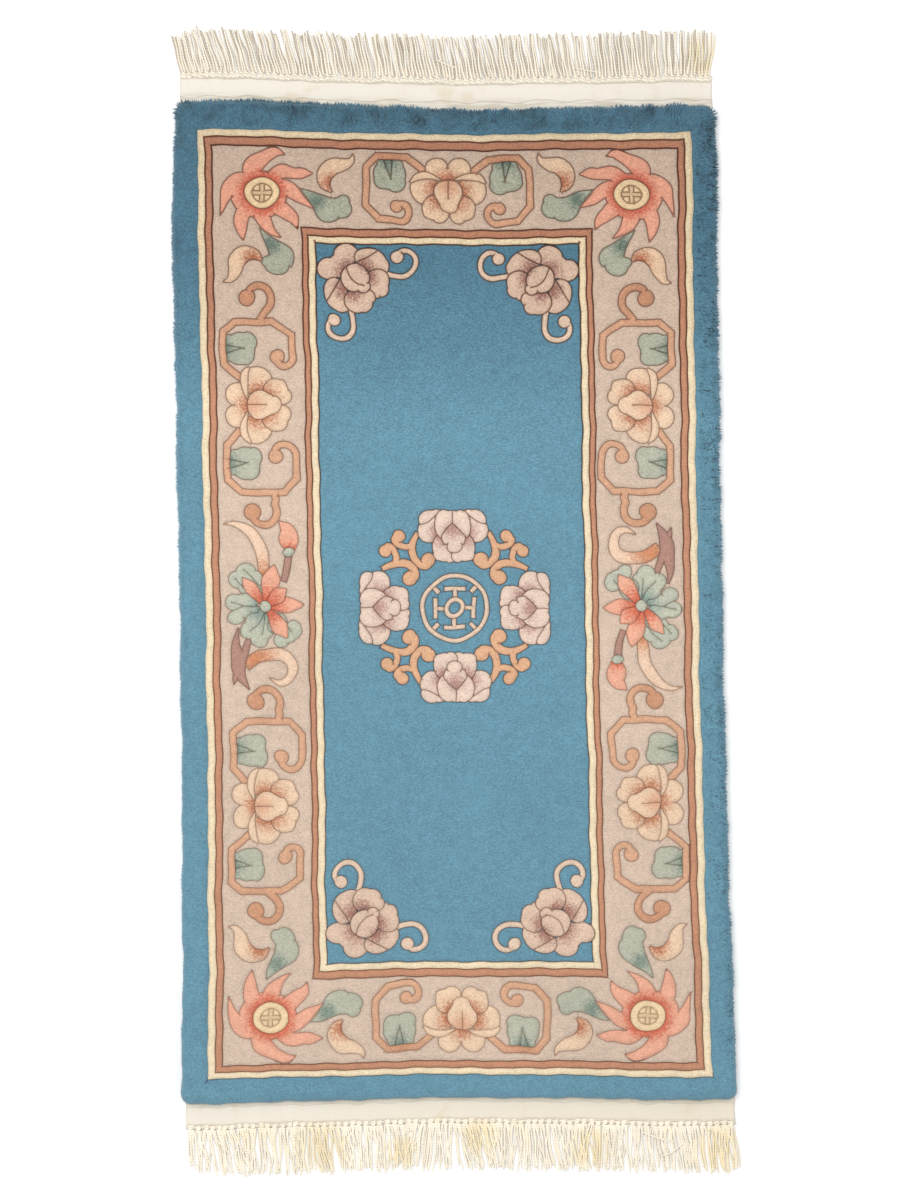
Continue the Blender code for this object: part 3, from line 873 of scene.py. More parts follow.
def line_shade_weight(places):
    """How dark a carved line is painted there, with its roots' colour and painted shadow.

    The stripes and the field are cut deep, and the band's flowers lightly. The outermost line is hidden
    under the wool that leans over it, except at the lower end.
    """
    away = np.abs(places)
    in_band = (away < np.array(BAND) - BAND_MARGIN).all(1)
    in_band &= (away > np.array(RUST_INNER) + STRIPE_MARGIN).any(1)
    in_field = (away < np.array(FIELD) - BAND_MARGIN).all(1)
    outermost = (away > np.array(CREAM_OUTER) - OUTER_MARGIN).any(1)
    at_lower_end = places[outermost, 1] < LOWER_EDGE
    weight = np.full(len(places), 1.0)
    weight[in_band] = BAND_LINES
    weight[in_field] = FIELD_LINES
    weight[outermost] = np.where(at_lower_end, LOWER_EDGE_LINES, EDGE_LINES)
    return weight


def fill_points(starts, ends, places, rims):
    """Points beside the grooves, where the pile is full again, and points between them."""
    along = ends - starts
    along /= np.maximum(np.hypot(*along.T)[:, None], 1e-9)
    side = np.column_stack((-along[:, 1], along[:, 0])) * LIP_WIDTH
    middles = (starts + ends) / 2
    lines = kd_tree(np.vstack((places, middles)))
    lips = clear_of(lines, np.vstack((middles + side, middles - side)), BOUNDARY_CLEARANCE)
    lips = thinned(lips, LIP_SPACING)
    fine = hexagon_grid(BAND[0] + GRID_MARGIN, BAND[1] + GRID_MARGIN, FINE_STEP)
    in_field = (np.abs(fine - INNER_SHIFT) < FIELD).all(1)
    near_line = np.array([lines.find((x, y, 0))[2] < NEAR_LINE for x, y in fine])
    taken = kd_tree(np.vstack((places, lips, *rims)))
    fine = clear_of(taken, fine[~in_field | near_line], FINE_CLEARANCE)
    plain = hexagon_grid(HALF_WIDTH, HALF_LENGTH, PLAIN_STEP)
    plain = plain[in_rim(plain, PLAIN_INSET)] - SHIFT
    taken = kd_tree(np.vstack((places, lips, fine, *rims)))
    return lips, fine, clear_of(taken, plain, PLAIN_CLEARANCE)


def colour_pile(mesh, vertices, patches):
    """Gives each face the colours of the topmost patch, and its corners their nearness to the root."""
    totals = np.empty(len(mesh.polygons), int)
    mesh.polygons.foreach_get("loop_total", totals)
    corner = np.empty(len(mesh.loops), int)
    mesh.loops.foreach_get("vertex_index", corner)
    face = np.repeat(np.arange(len(totals)), totals)
    straight = unlie(vertices[:, :2]) - SHIFT
    middles = np.column_stack([np.bincount(face, straight[corner, k]) / totals for k in (0, 1)])
    top = np.full(len(totals), -1)
    for number, patch in enumerate(patches):
        if patch.colour is not None:
            top[inside(middles, patch.outline)] = number
    plain = Patch(((0, 0),), BLUE)
    shown = patches + [plain]
    ground = np.array([(p.colour or BLUE) + (1.0,) for p in shown])
    tint = np.array([(p.deep or BLUE) + (1.0,) for p in shown])
    root = np.array([p.root for p in shown])
    reach = np.array([p.reach for p in shown])
    number = top[face]
    core = np.array([p.core for p in shown])
    away = np.hypot(*(straight[corner] - root[number]).T)
    shade = (reach[number] - away) / (reach - core)[number]
    set_attribute(mesh, "ground", "FLOAT_COLOR", "CORNER", ground[number])
    set_attribute(mesh, "tint", "FLOAT_COLOR", "CORNER", tint[number])
    set_attribute(mesh, "shade", "FLOAT", "CORNER", np.clip(shade, 0, 1))


def new_mesh(name, vertices, faces=(), edges=(), smooth=True):
    """A mesh of these points, faces and edges."""
    mesh = bpy.data.meshes.new(name)
    mesh.from_pydata(np.asarray(vertices).tolist(), list(edges), list(faces))
    if smooth:
        mesh.shade_smooth()
    return mesh


def set_attribute(mesh, name, kind, domain, values):
    """Gives the mesh a named value at each of its points or face corners."""
    field = {"FLOAT": "value", "FLOAT_COLOR": "color", "FLOAT_VECTOR": "vector"}[kind]
    data = mesh.attributes.new(name, kind, domain).data
    data.foreach_set(field, np.ascontiguousarray(values, np.float32).ravel())


def new_piece(name, mesh, material, node, replaces=True):
    """A piece of the rug that rides its body, and stands for a solid or goes with another piece that does."""
    piece = bpy.data.objects.new(name, mesh)
    bpy.context.collection.objects.link(piece)
    mesh.materials.clear()
    mesh.materials.append(material)
    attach(piece, "root")
    if replaces:
        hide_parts(node)
    return piece


# Node trees


class Tree:
    """Short ways to add nodes to a tree and to join them."""

    def __init__(self, tree):
        self.tree = tree

    def node(self, kind, values=None, **settings):
        """A new node. Its values go in by socket name or number, each a constant or another node's output."""
        node = self.tree.nodes.new(kind)
        for name, value in settings.items():
            setattr(node, name, value)
        for key, value in (values or {}).items():
            if isinstance(value, bpy.types.NodeSocket):
                self.tree.links.new(value, node.inputs[key])
            else:
                node.inputs[key].default_value = value
        return node

    def math(self, operation, *values):
        """One step of arithmetic."""
        return self.node("ShaderNodeMath", dict(enumerate(values)), operation=operation).outputs[0]

    def times(self, product, *others):
        """The product of two or more values."""
        for other in others:
            product = self.math("MULTIPLY", product, other)
        return product

    def plus(self, total, *others):
        """The sum of two or more values."""
        for other in others:
            total = self.math("ADD", total, other)
        return total

    def minus(self, first, second):
        """The first value less the second."""
        return self.math("SUBTRACT", first, second)

    def span(self, value, low, high, to_low=0.0, to_high=1.0, smooth=False):
        """The value carried from one range to another, and held at its ends."""
        kind = "SMOOTHSTEP" if smooth else "LINEAR"
        values = {"Value": value, "From Min": low, "From Max": high, "To Min": to_low, "To Max": to_high}
        return self.node("ShaderNodeMapRange", values, interpolation_type=kind).outputs[0]


def opaque(colour):
    """A fixed colour as a socket takes it, or another node's output as it is."""
    return (*colour, 1.0) if isinstance(colour, tuple) else colour


class Surface(Tree):
    """A material of soft, dull fibres, whose colour and bump come from its own nodes.

    Its x and y are a point's place across and along the rug, in metres.
    """

    def __init__(self, name, roughness=0.95, sheen=0.25):
        self.material = bpy.data.materials.new(name)
        self.material.use_nodes = True
        super().__init__(self.material.node_tree)
        self.shader = self.tree.nodes["Principled BSDF"]
        self.shader.inputs["Roughness"].default_value = roughness
        self.shader.inputs["Specular IOR Level"].default_value = 0.2
        self.shader.inputs["Sheen Weight"].default_value = sheen
        self.shader.inputs["Sheen Roughness"].default_value = 0.6
        self.places = self.node("ShaderNodeTexCoord").outputs["Object"]
        self.x, self.y, _ = self.node("ShaderNodeSeparateXYZ", {0: self.places}).outputs

    def attribute(self, name, output="Fac"):
        """A value, colour or vector that the mesh carries."""
        return self.node("ShaderNodeAttribute", attribute_name=name).outputs[output]

    def noise(self, size, detail=2.0, stretch=None):
        """Soft noise from 0 to 1, of lumps about this size in metres."""
        places = self.places
        if stretch:
            places = self.node("ShaderNodeMapping", {"Vector": places, "Scale": stretch}).outputs[0]
        values = {"Vector": places, "Scale": 1 / size, "Detail": detail}
        return self.node("ShaderNodeTexNoise", values).outputs[0]

    def swing(self, noise, amount, middle=0.0):
        """Noise carried to a value that swings this far to either side of a middle."""
        return self.span(noise, *NOISE_RANGE, middle - amount, middle + amount)

    def ribs(self, axis, width):
        """Round ribs of yarn, this wide, side by side along an axis."""
        values = {"Vector": self.places, "Scale": 1 / width / 2, "Distortion": 1.2, "Detail": 1.0}
        return self.node("ShaderNodeTexWave", values, bands_direction=axis).outputs[1]

    def mix(self, share, a, b, blend="MIX"):
        """Colour a with this share of colour b."""
        values = {0: share, 6: opaque(a), 7: opaque(b)}
        return self.node("ShaderNodeMix", values, data_type="RGBA", blend_type=blend).outputs[2]

    def dyed(self, colour, dye):
        """The colour multiplied by another."""
        return self.mix(1.0, colour, dye, "MULTIPLY")

    def brighten(self, colour, factor):
        """The colour made lighter or darker by a factor."""
        grey = self.node("ShaderNodeCombineColor", {0: factor, 1: factor, 2: factor}).outputs[0]
        return self.dyed(colour, grey)

    def redness(self, colour):
        """How red the colour is: little in the blue wool, and much in every other."""
        return self.node("ShaderNodeSeparateColor", {0: colour}).outputs[0]

    def finish(self, colour, height, depth):
        """Joins the colour and the bump to the shader, and gives the material."""
        bump = self.node("ShaderNodeBump", {"Height": height, "Strength": 1.0, "Distance": depth})
        self.tree.links.new(bump.outputs[0], self.shader.inputs["Normal"])
        if isinstance(colour, tuple):
            self.shader.inputs["Base Color"].default_value = opaque(colour)
        else:
            self.tree.links.new(colour, self.shader.inputs["Base Color"])
        return self.material

    def along_rug(self, low, high):
        """A value that runs from low at the lower end of the rug to high at the upper end."""
        return self.span(self.y, -HALF_LENGTH, HALF_LENGTH, low, high)

    def painted_end_shade(self):
        """How much light the pile gives back, with painted shade towards the upper end, where it leans away.
        """
        first = self.span(self.y, 0.26, 0.50, WOOL_LIGHT, WOOL_LIGHT * 0.88)
        return self.times(first, self.span(self.y, 0.54, 0.70, 1.0, 0.84))

    def painted_end_deepening(self, colour):
        """Painted shade: the fuller, darker colour of wool seen more from its side, towards the upper end."""
        blueness = self.span(self.redness(colour), 0.15, 0.70, 1.0, 0.42)
        share = self.times(self.span(self.y, 0.24, 0.48, 0.0, 0.46), blueness)
        return self.mix(share, colour, self.dyed(colour, colour))


# Materials, with the sizes of their noise in metres

NOISE_RANGE = (0.3, 0.7)
KNOT_GRAIN = 0.0017
KNOT_STRETCH = (0.60, 1.3, 1.0)
KNOT_CONTRAST = 0.12
WOOL_STREAK = 0.0024
WOOL_CLUMP = 0.014
DYE_LOT = 0.16
TUFTS_A_METRE = 430.0
WARP_WIDTH = 0.0026
WEFT_WIDTH = 0.0019


def wool_material():
    """Cut wool: speckled knots, colours that deepen near their roots, carved lines darkened partly by their
    roots' colour and partly by painted shadow, and painted shade towards the upper end.
    """
    s = Surface("carved wool")
    knot = s.noise(KNOT_GRAIN, 1.0, stretch=KNOT_STRETCH)
    shade = s.plus(s.attribute("shade"), s.swing(s.noise(WOOL_STREAK, 1.0), 0.24))
    shade = s.span(shade, 0.04, 0.94, smooth=True)
    # The patch colours, with painted shade that deepens them towards the upper end
    colour = s.painted_end_deepening(s.mix(shade, s.attribute("ground", "Color"), s.attribute("tint", "Color")))

    grain = s.times(s.swing(knot, KNOT_CONTRAST), s.span(s.y, 0.1, 0.6, 1.0, 1.7))
    grain = s.times(grain, s.span(s.redness(colour), 0.15, 0.60, 1.7, 1.0))
    light = s.plus(grain, s.swing(s.noise(WOOL_CLUMP), 0.05), s.swing(s.noise(DYE_LOT), 0.04, 1.0))
    # Painted shade towards the upper end, over the random clumps and dye lots
    colour = s.brighten(colour, s.times(light, s.painted_end_shade()))

    # The carved lines: partly their roots' darker colour, partly painted shadow, wider and darker towards the
    # upper end
    weight = s.attribute("weight")
    edge = s.plus(s.span(s.y, 0.0, 0.6, 0.30, 0.05), s.span(weight, 0.0, 1.0, 0.40, 0.0))
    groove = s.plus(s.attribute("groove"), s.swing(knot, KNOT_CONTRAST))
    depth = s.span(groove, edge, s.plus(edge, 0.45), smooth=True)
    depth = s.times(depth, weight, s.along_rug(0.72, 1.10))
    colour = s.mix(depth, colour, s.dyed(colour, GROOVE_ROOTS_AND_SHADE))

    tufts = s.node("ShaderNodeTexVoronoi", {"Vector": s.places, "Scale": TUFTS_A_METRE}).outputs[0]
    return s.finish(colour, s.plus(s.times(tufts, -0.6), knot), 0.0016)


def tuft_material():
    """Loose blue locks, each a little lighter or darker than the next, with painted shade and highlight in
    their folds, creases, partings and roots.
    """
    s = Surface("loose wool")
    # Painted shade and highlight where the locks fold, stronger towards the upper end
    fold = s.span(s.noise(0.026, 1.5, stretch=(0.55, 1.0, 1.0)), 0.36, 0.64, -1.0, 1.0)
    fold = s.times(fold, s.span(s.y, 0.60, 0.67, 0.10, 0.32))
    light = s.plus(s.span(s.attribute("tone"), 0.0, 1.0, 0.90, 1.10), fold)
    # A painted highlight along the upper rim
    light = s.plus(light, s.span(s.y, 0.640, 0.685, 0.0, 0.12))
    # Painted shade in the crevices; below 0, on ridges and on the rim's locks, a painted highlight
    light = s.minus(light, s.times(s.attribute("crevice_and_shade"), 0.58))
    # Painted shade in the partings between clumps, strongest on the right side
    parting_shade = s.span(s.noise(0.0042, 1.0, stretch=(0.35, 1.0, 1.0)), 0.53, 0.68, 0.0, 0.44)
    light = s.minus(light, s.times(parting_shade, s.span(s.x, 0.30, 0.35, 0.1, 1.0)))
    # Painted shade towards each lock's root, and a little painted highlight at its tip
    light = s.times(light, s.span(s.attribute("along"), 0.0, 0.6, 0.72, 1.08))
    # Painted shade towards the upper end, and darker on the right side
    light = s.times(light, s.painted_end_shade(), s.span(s.x, 0.28, 0.36, 1.0, 0.94))
    blue = s.node("ShaderNodeRGB")
    blue.outputs[0].default_value = opaque(BLUE)
    # The blue, with painted shade that deepens it towards the upper end
    colour = s.brighten(s.painted_end_deepening(blue.outputs[0]), light)
    return s.finish(colour, s.noise(0.0010, stretch=(1, 1, 0.3)), 0.0006)


def cloth_material():
    """Bare cotton cloth: fine ribs of warp and weft, ochre stains, streaks beside the pile that are part
    stain and part painted shade, painted shade along a crease and between the ribs, and darker towards the
    upper end.
    """
    s = Surface("cotton cloth", sheen=0.1)
    weave = s.math("MAXIMUM", s.ribs("X", WARP_WIDTH), s.ribs("Y", WEFT_WIDTH))
    stain = s.span(s.noise(0.045, 3.0), 0.56, 0.72, smooth=True)
    yellowed = s.times(s.span(s.y, 0.3, -0.3, 0.03, 0.20), s.span(s.x, -0.3, 0.3, 0.5, 1.3))
    colour = s.mix(s.plus(s.times(stain, 0.30), yellowed), CLOTH, CLOTH_STAIN)

    from_pile = s.attribute("from_pile")
    wandering = s.swing(s.noise(0.035, 1.0), 0.0025)
    from_crease = s.math("ABSOLUTE", s.minus(s.plus(from_pile, wandering), CREASE_PLACE))
    # Painted shade along a crease beside the pile's edge, weaker at the lower end; the crease is in the bump
    # too
    crease_depth = s.span(from_crease, 0.0012, 0.0, smooth=True)
    colour = s.mix(s.times(crease_depth, s.span(s.y, -0.3, 0.3, 0.22, 0.45)), colour, CLOTH_SHADE)

    # Streaks beside the pile at the upper end, part ochre stain and part painted shade
    stain_and_shade_streaks = s.span(s.noise(0.005, 2.0, stretch=(0.12, 1.0, 1.0)), 0.42, 0.62, smooth=True)
    beside_pile = s.times(s.span(from_pile, 0.013, 0.004), s.span(s.y, 0.3, 0.5, 0.1, 0.45))
    colour = s.mix(s.times(stain_and_shade_streaks, beside_pile), colour, CLOTH_EDGE_STAIN_AND_SHADE)
    # Painted shade between the ribs, and darker towards the upper end
    light = s.times(s.span(weave, 0.0, 1.0, 0.95, 1.02), s.span(s.y, -0.3, 0.3, 1.0, 0.94))
    height = s.minus(weave, s.times(crease_depth, 0.8))
    return s.finish(s.brighten(colour, light), height, 0.0005)


def yarn_material():
    """Twisted cotton yarn, unbleached, with a slight difference from cord to cord, and painted shade on the
    lower cords and between the plies.
    """
    s = Surface("cotton yarn", sheen=0.15)
    tone = s.attribute("tone")
    girth = s.node("ShaderNodeSeparateXYZ", {0: s.attribute("girth", "Vector")}).outputs
    round_cord = s.times(s.math("ARCTAN2", girth[1], girth[0]), 2.0)
    turning = s.plus(round_cord, s.times(s.attribute("run"), TWIST))
    ply = s.span(s.math("SINE", turning), -1.0, 1.0)

    stain = s.span(s.noise(0.06, 3.0), 0.52, 0.70, smooth=True)
    stain = s.times(stain, s.span(s.y, 0.3, -0.3, 0.0, 0.4))
    for x, y, reach in YARN_STAINS:
        away = s.node("ShaderNodeVectorMath", {0: s.places, 1: (x, y, 0)}, operation="DISTANCE").outputs[1]
        stain = s.math("MAXIMUM", stain, s.span(away, reach, reach * 0.3, smooth=True))
    colour = s.mix(s.times(stain, 0.55), YARN, YARN_STAIN)
    # A low tone, which the lower cord of each pair has, paints shade: browner here, darker below
    colour = s.mix(s.span(tone, 0.0, 0.6, 0.75, 0.0), colour, YARN_SHADE)

    light = s.plus(s.span(tone, 0.0, 1.0, 0.74, 1.08), s.swing(s.noise(0.03), 0.03))
    # Painted shade in the grooves between the plies
    light = s.plus(light, s.span(ply, 0.0, 1.0, -0.035, 0.015))
    light = s.times(light, s.span(s.y, -0.3, 0.3, 1.01, 0.91))
    height = s.plus(ply, s.times(s.noise(0.0007), 0.5))
    return s.finish(s.brighten(colour, light), height, 0.0005)


def floor_material():
    """The plain pale floor."""
    s = Surface("pale floor", roughness=0.8, sheen=0.0)
    return s.finish(FLOOR, s.noise(0.002), 0.00002)


# Trees that grow locks and cords


class Grower(Tree):
    """A Geometry Nodes tree that grows wool or yarn from points or lines, with its inputs by name."""

    def __init__(self, name, **inputs):
        self.group = bpy.data.node_groups.new(name, "GeometryNodeTree")
        super().__init__(self.group)
        self.sockets = {}
        self.add_socket("Geometry", "Geometry")
        for key, kind in inputs.items():
            self.add_socket(key, kind)
        self.add_socket("Geometry", "Geometry", "OUTPUT")
        self.inputs = self.node("NodeGroupInput").outputs

    def add_socket(self, name, kind, in_out="INPUT"):
        """Adds an input or the output of the tree."""
        kind = "NodeSocket" + kind
        socket = self.group.interface.new_socket(name, in_out=in_out, socket_type=kind)
        self.sockets[name] = socket.identifier

    def carried(self, name, kind="FLOAT"):
        """An attribute that the given points carry."""
        return self.node("GeometryNodeInputNamedAttribute", {"Name": name}, data_type=kind).outputs[0]

    def store(self, geometry, name, value, kind="FLOAT", domain="POINT"):
        """The geometry with a value kept on it under a name."""
        values = {"Geometry": geometry, "Name": name, "Value": value}
        return self.node("GeometryNodeStoreNamedAttribute", values, data_type=kind, domain=domain).outputs[0]

    def tube(self, curve, sides, scale, girth_name=None):
        """A closed tube round a curve, a metre thick where its scale is 1."""
        values = {"Resolution": sides, "Radius": 0.5}
        profile = self.node("GeometryNodeCurvePrimitiveCircle", values).outputs[0]
        if girth_name:
            place = self.node("GeometryNodeInputPosition").outputs[0]
            profile = self.store(profile, girth_name, place, "FLOAT_VECTOR")
        values = {"Curve": curve, "Profile Curve": profile, "Scale": scale, "Fill Caps": True}
        return self.node("GeometryNodeCurveToMesh", values).outputs[0]

    def close(self, geometry):
        """Ends the tree with real meshes that have the material."""
        real = self.node("GeometryNodeRealizeInstances", {0: geometry}).outputs[0]
        values = {"Geometry": real, "Material": self.inputs["Material"]}
        done = self.node("GeometryNodeSetMaterial", values).outputs[0]
        self.node("NodeGroupOutput", {"Geometry": done})

    def grown(self, name, vertices, edges, attributes, **inputs):
        """The plain mesh that the tree makes from points and lines that carry these attributes."""
        seeds = new_mesh(name, vertices, edges=edges, smooth=False)
        for key, kind, values in attributes:
            set_attribute(seeds, key, kind, "POINT", values)
        holder = bpy.data.objects.new(name, seeds)
        bpy.context.collection.objects.link(holder)
        modifier = holder.modifiers.new("grow", "NODES")
        modifier.node_group = self.group
        for key, value in inputs.items():
            modifier[self.sockets[key]] = value
        depsgraph = bpy.context.evaluated_depsgraph_get()
        mesh = bpy.data.meshes.new_from_object(holder.evaluated_get(depsgraph))
        bpy.data.objects.remove(holder)
        mesh.name = name
        mesh.shade_smooth()
        return mesh


LOCK_RINGS = 4
LOCK_SIDES = 3
TIP_SHARE = 0.97
TIP_ROUNDNESS = 0.42


def lock_grower():
    """Sets one tapered, bent lock of wool at each point."""
    t = Grower("locks of wool", Seed="Int", Bend="Float", Material="Material")
    values = {"Count": LOCK_RINGS, "Offset": (0, 0, 1 / (LOCK_RINGS - 1))}
    line = t.node("GeometryNodeMeshLine", values).outputs[0]
    height = t.node("ShaderNodeSeparateXYZ", {0: t.node("GeometryNodeInputPosition").outputs[0]}).outputs[2]
    offset = t.node("ShaderNodeCombineXYZ", {0: t.times(height, height, t.inputs["Bend"])}).outputs[0]
    line = t.node("GeometryNodeSetPosition", {"Geometry": line, "Offset": offset}).outputs[0]
    curve = t.node("GeometryNodeMeshToCurve", {0: line}).outputs[0]
    share = t.node("GeometryNodeSplineParameter").outputs[0]
    belly = t.math("POWER", t.minus(1.0, t.times(share, TIP_SHARE)), TIP_ROUNDNESS)
    lock = t.tube(t.store(curve, "along", share), LOCK_SIDES, belly)
    turn = t.carried("turn", "FLOAT_VECTOR")
    size = t.carried("size", "FLOAT_VECTOR")
    values = {"Points": t.inputs["Geometry"], "Instance": lock, "Rotation": turn, "Scale": size}
    placed = t.node("GeometryNodeInstanceOnPoints", values).outputs[0]
    tone = t.node("FunctionNodeRandomValue", {"Seed": t.inputs["Seed"]}, data_type="FLOAT").outputs[1]
    t.close(t.store(placed, "tone", tone, domain="INSTANCE"))
    return t


def cord_grower():
    """Turns lines of points into round, soft cords, with what their twist needs for its bump."""
    t = Grower("cotton cords", Rings="Int", Sides="Int", Material="Material")
    curve = t.node("GeometryNodeMeshToCurve", {0: t.inputs["Geometry"]}).outputs[0]
    curve = t.node("GeometryNodeCurveSplineType", {"Curve": curve}, spline_type="CATMULL_ROM").outputs[0]
    curve = t.node("GeometryNodeResampleCurve", {"Curve": curve, "Count": t.inputs["Rings"]}).outputs[0]
    thickness = t.carried("thickness")
    curve = t.store(curve, "run", t.node("GeometryNodeSplineParameter").outputs["Length"])
    t.close(t.tube(curve, t.inputs["Sides"], thickness, "girth"))
    return t


# Locks of loose wool on the plain border

LOCK_STEP = 0.0027
LOCK_LENGTH = 0.0062
LOCK_WIDTH = 0.0031
LOCK_BEND = 0.35
BORDER_LEAN = (22, 60)  # degrees from upright, of the locks on the border and of those on the rim
RIM_LEAN = (50, 82)
RIM_ROWS = ((0.0022, 0.0090), (0.0038, 0.0128))  # how far in each row of the rim's locks starts, and how high
RIM_LOCK_STEP = 0.0021
RIM_LOCK_WIDTH = 0.8  # against a lock of the border
LOCK_ROOT = 0.0024  # how far below the pile's top a lock starts
CREVICE_SINK = 0.0008  # and how much farther in a crevice
END_BORDER = (0.030, 0.050)  # from the end's edge, where the end border's creases fade into the side's
END_SHAG = (0.03, 0.06)  # and where the lengths of its locks do
CORNER_BLEND = 0.006  # over which the locks turn from one edge's heading to the next one's
FROM_STRIPE = 0.0020  # how far the locks stay from the outer stripe
FROM_EDGE = 0.0050  # and those of the border from the rug's edge


def loose_places():
    """For each edge, the loose locks: where each starts, which way it leans, its size, and its crevice, whose
    value also paints shade and highlight.
    """
    chance = random.Random(RANDOM_SEED)
    grid = hexagon_grid(HALF_WIDTH, HALF_LENGTH, LOCK_STEP)
    outside = (np.abs(grid - SHIFT) > np.array(CREAM_OUTER) + FROM_STRIPE).any(1)
    rows = [(grid[outside & in_rim(grid, FROM_EDGE)], None)]
    rows += [(rim_ring(inset, RIM_LOCK_STEP), height) for inset, height in RIM_ROWS]
    edges = {"right": [], "upper": [], "left": [], "lower": []}
    for row, height in rows:
        laid = lie(row)
        on_border = height is None
        tops = pile_height(laid) - LOCK_ROOT if on_border else np.full(len(row), height)
        for (x, y), (laid_x, laid_y), top in zip(row, laid, tops):
            crevice_and_shade = crevice_depth(x, y)
            # On the rim the value drops below 0: a painted highlight on the rim's locks, and no sinking
            if not on_border:
                crevice_and_shade = 0.2 * crevice_and_shade - 0.45
            outward = outward_angle(x, y)
            heading = outward + 0.8 * ripple(x, y, 70, 8) + chance.gauss(0, 0.3)
            lean = math.radians(chance.uniform(*(BORDER_LEAN if on_border else RIM_LEAN)))
            clump = 1 + 0.6 * ripple(x, y, 42, 9) * (1.0 if y > 0.6 else 0.4)
            length = LOCK_LENGTH * shagginess(x, y) * chance.uniform(0.7, 1.2) * clump
            width = LOCK_WIDTH * chance.uniform(0.75, 1.25) * (1.0 if on_border else RIM_LOCK_WIDTH)
            start = (laid_x, laid_y, top - CREVICE_SINK * max(0.0, crevice_and_shade))
            edge = edges[list(edges)[round(outward / (math.pi / 2)) % 4]]
            edge.append((start, (0.0, lean, heading), (width, width, length), crevice_and_shade))
    return edges


def crevice_depth(x, y):
    """How deep a lock stands in a crease that runs straight in from the edge, below 0 on a ridge. The same
    value paints shade in the crease and a highlight on the ridge.
    """
    angle = outward_angle(x, y)
    c, s = math.cos(angle), math.sin(angle)
    end = float(np.interp(HALF_LENGTH - abs(y), END_BORDER, (1.0, 0.0)))
    creases_a_metre = 230 - 90 * end
    crease = ripple(y * c - x * s, x * c + y * s, creases_a_metre, 4, 55) + 0.6 * ripple(x, y, 34, 6)
    share = min(1.0, max(-0.4, (crease - 0.04) / 0.26))
    side = 1.0 if x > 0 else 0.25
    up = float(np.interp(y, (-0.69, 0.0, 0.5), (0.6, 0.85, 1.0)))
    return share * (side * up * (1 - end) + end * (0.55 if y > 0 else 0.15))


def shagginess(x, y):
    """How long the loose locks are: full at the upper end, less on the sides, short at the lower end."""
    upper_end = np.interp(HALF_LENGTH - y, END_SHAG, (1.0, 0.0))
    lower_end = np.interp(HALF_LENGTH + y, END_SHAG, (1.0, 0.0))
    sides = (0.80 if x > 0 else 0.60) + 0.14 * (y / HALF_LENGTH)
    return upper_end + lower_end * 0.42 + (1 - upper_end - lower_end) * sides


def outward_angle(x, y):
    """The heading towards the nearest edge of the rug."""
    to_side = min(x - RIM_LOW[0], RIM_HIGH[0] - x)
    to_end = min(y - RIM_LOW[1], RIM_HIGH[1] - y)
    share = 1 / (1 + math.exp(-(to_end - to_side) / CORNER_BLEND))
    return math.atan2(math.copysign(1 - share, y), math.copysign(share, x))


def in_rim(points, inset):
    """Which points lie within the rug's rounded plan, drawn in by inset."""
    from_side, from_end = np.minimum(points - RIM_LOW, np.array(RIM_HIGH) - points).T - inset
    in_corner = np.hypot(np.maximum(PILE_CORNER - from_side, 0), np.maximum(PILE_CORNER - from_end, 0))
    return (from_side > 0) & (from_end > 0) & (in_corner < PILE_CORNER)


# Cords and knots of the fringes, with +1 for the upper end and -1 for the lower

KNOTS = 78
KNOT_ROW = WEB_WIDTH - 0.004
KNOT_LENGTHS = {1: 0.0100, -1: 0.0072}
KNOT_RADIUS = 0.0026
KNOT_CORD = 0.0036
KNOT_TURN = 3.7 * math.pi
KNOT_STEPS = 10
KNOT_HEIGHT = 0.0028
TWINE_PITCH = 0.0050
TWINE_RADIUS = 0.0008
TWINE_THICKNESS = 0.0017
TWINE_INSET = 0.0012
TWINE_LIFT = 0.0004
CORDS_A_KNOT = {1: 4, -1: 5}
CORDS_BREADTH = 0.0084  # over which the cords leave their knot
CORD_LENGTHS = {1: 0.0600, -1: 0.0640}
CORD_THICKNESS = 0.0027
CORD_STEPS = 9
LAYER_HEIGHT = 0.0011
LOOSENESS = {1: 0.020, -1: 0.055}  # how far neighbouring cords stray from each other, in radians
LEANINGS = {  # places along the row, 0 at the left and 1 at the right, and the cords' lean there in radians
    1: ((0, 0.05, 0.6, 0.8, 0.94, 1), (-0.28, -0.25, -0.22, -0.15, -0.06, 0.18)),
    -1: ((0, 0.06, 0.15, 0.5, 0.9, 1), (0.10, 0.16, 0.03, 0.05, 0.08, 0.02)),
}
# The lower cords get painted shade through their tone
SHADED_UNDER_TONES = {1: (0.05, 0.45), -1: (0.62, 0.80)}  # of the lower cord of each pair, from 0, dark, to 1, light
LIGHT_TONES = (0.75, 1.0)
STRAYS = {  # start across, start beyond the knots, heading in degrees, length
    1: ((0.215, 0.014, -82, 0.034), (0.020, 0.022, -70, 0.030)),
    -1: ((0.245, 0.016, 75, 0.045), (0.300, 0.030, -60, 0.036), (-0.330, 0.020, 40, 0.030)),
}


class Lines:
    """Points and lines for cords, gathered cord by cord."""

    def __init__(self):
        self.points, self.edges, self.thickness, self.tone = [], [], [], []

    def add(self, path, thickness, tone, thinning=0.18):
        """Adds a cord that thins a little towards its end."""
        first = len(self.points)
        self.points += [tuple(p) for p in path]
        self.edges += [(first + k, first + k + 1) for k in range(len(path) - 1)]
        self.thickness += [thickness * (1 - thinning * k / (len(path) - 1)) for k in range(len(path))]
        self.tone += [tone] * len(path)


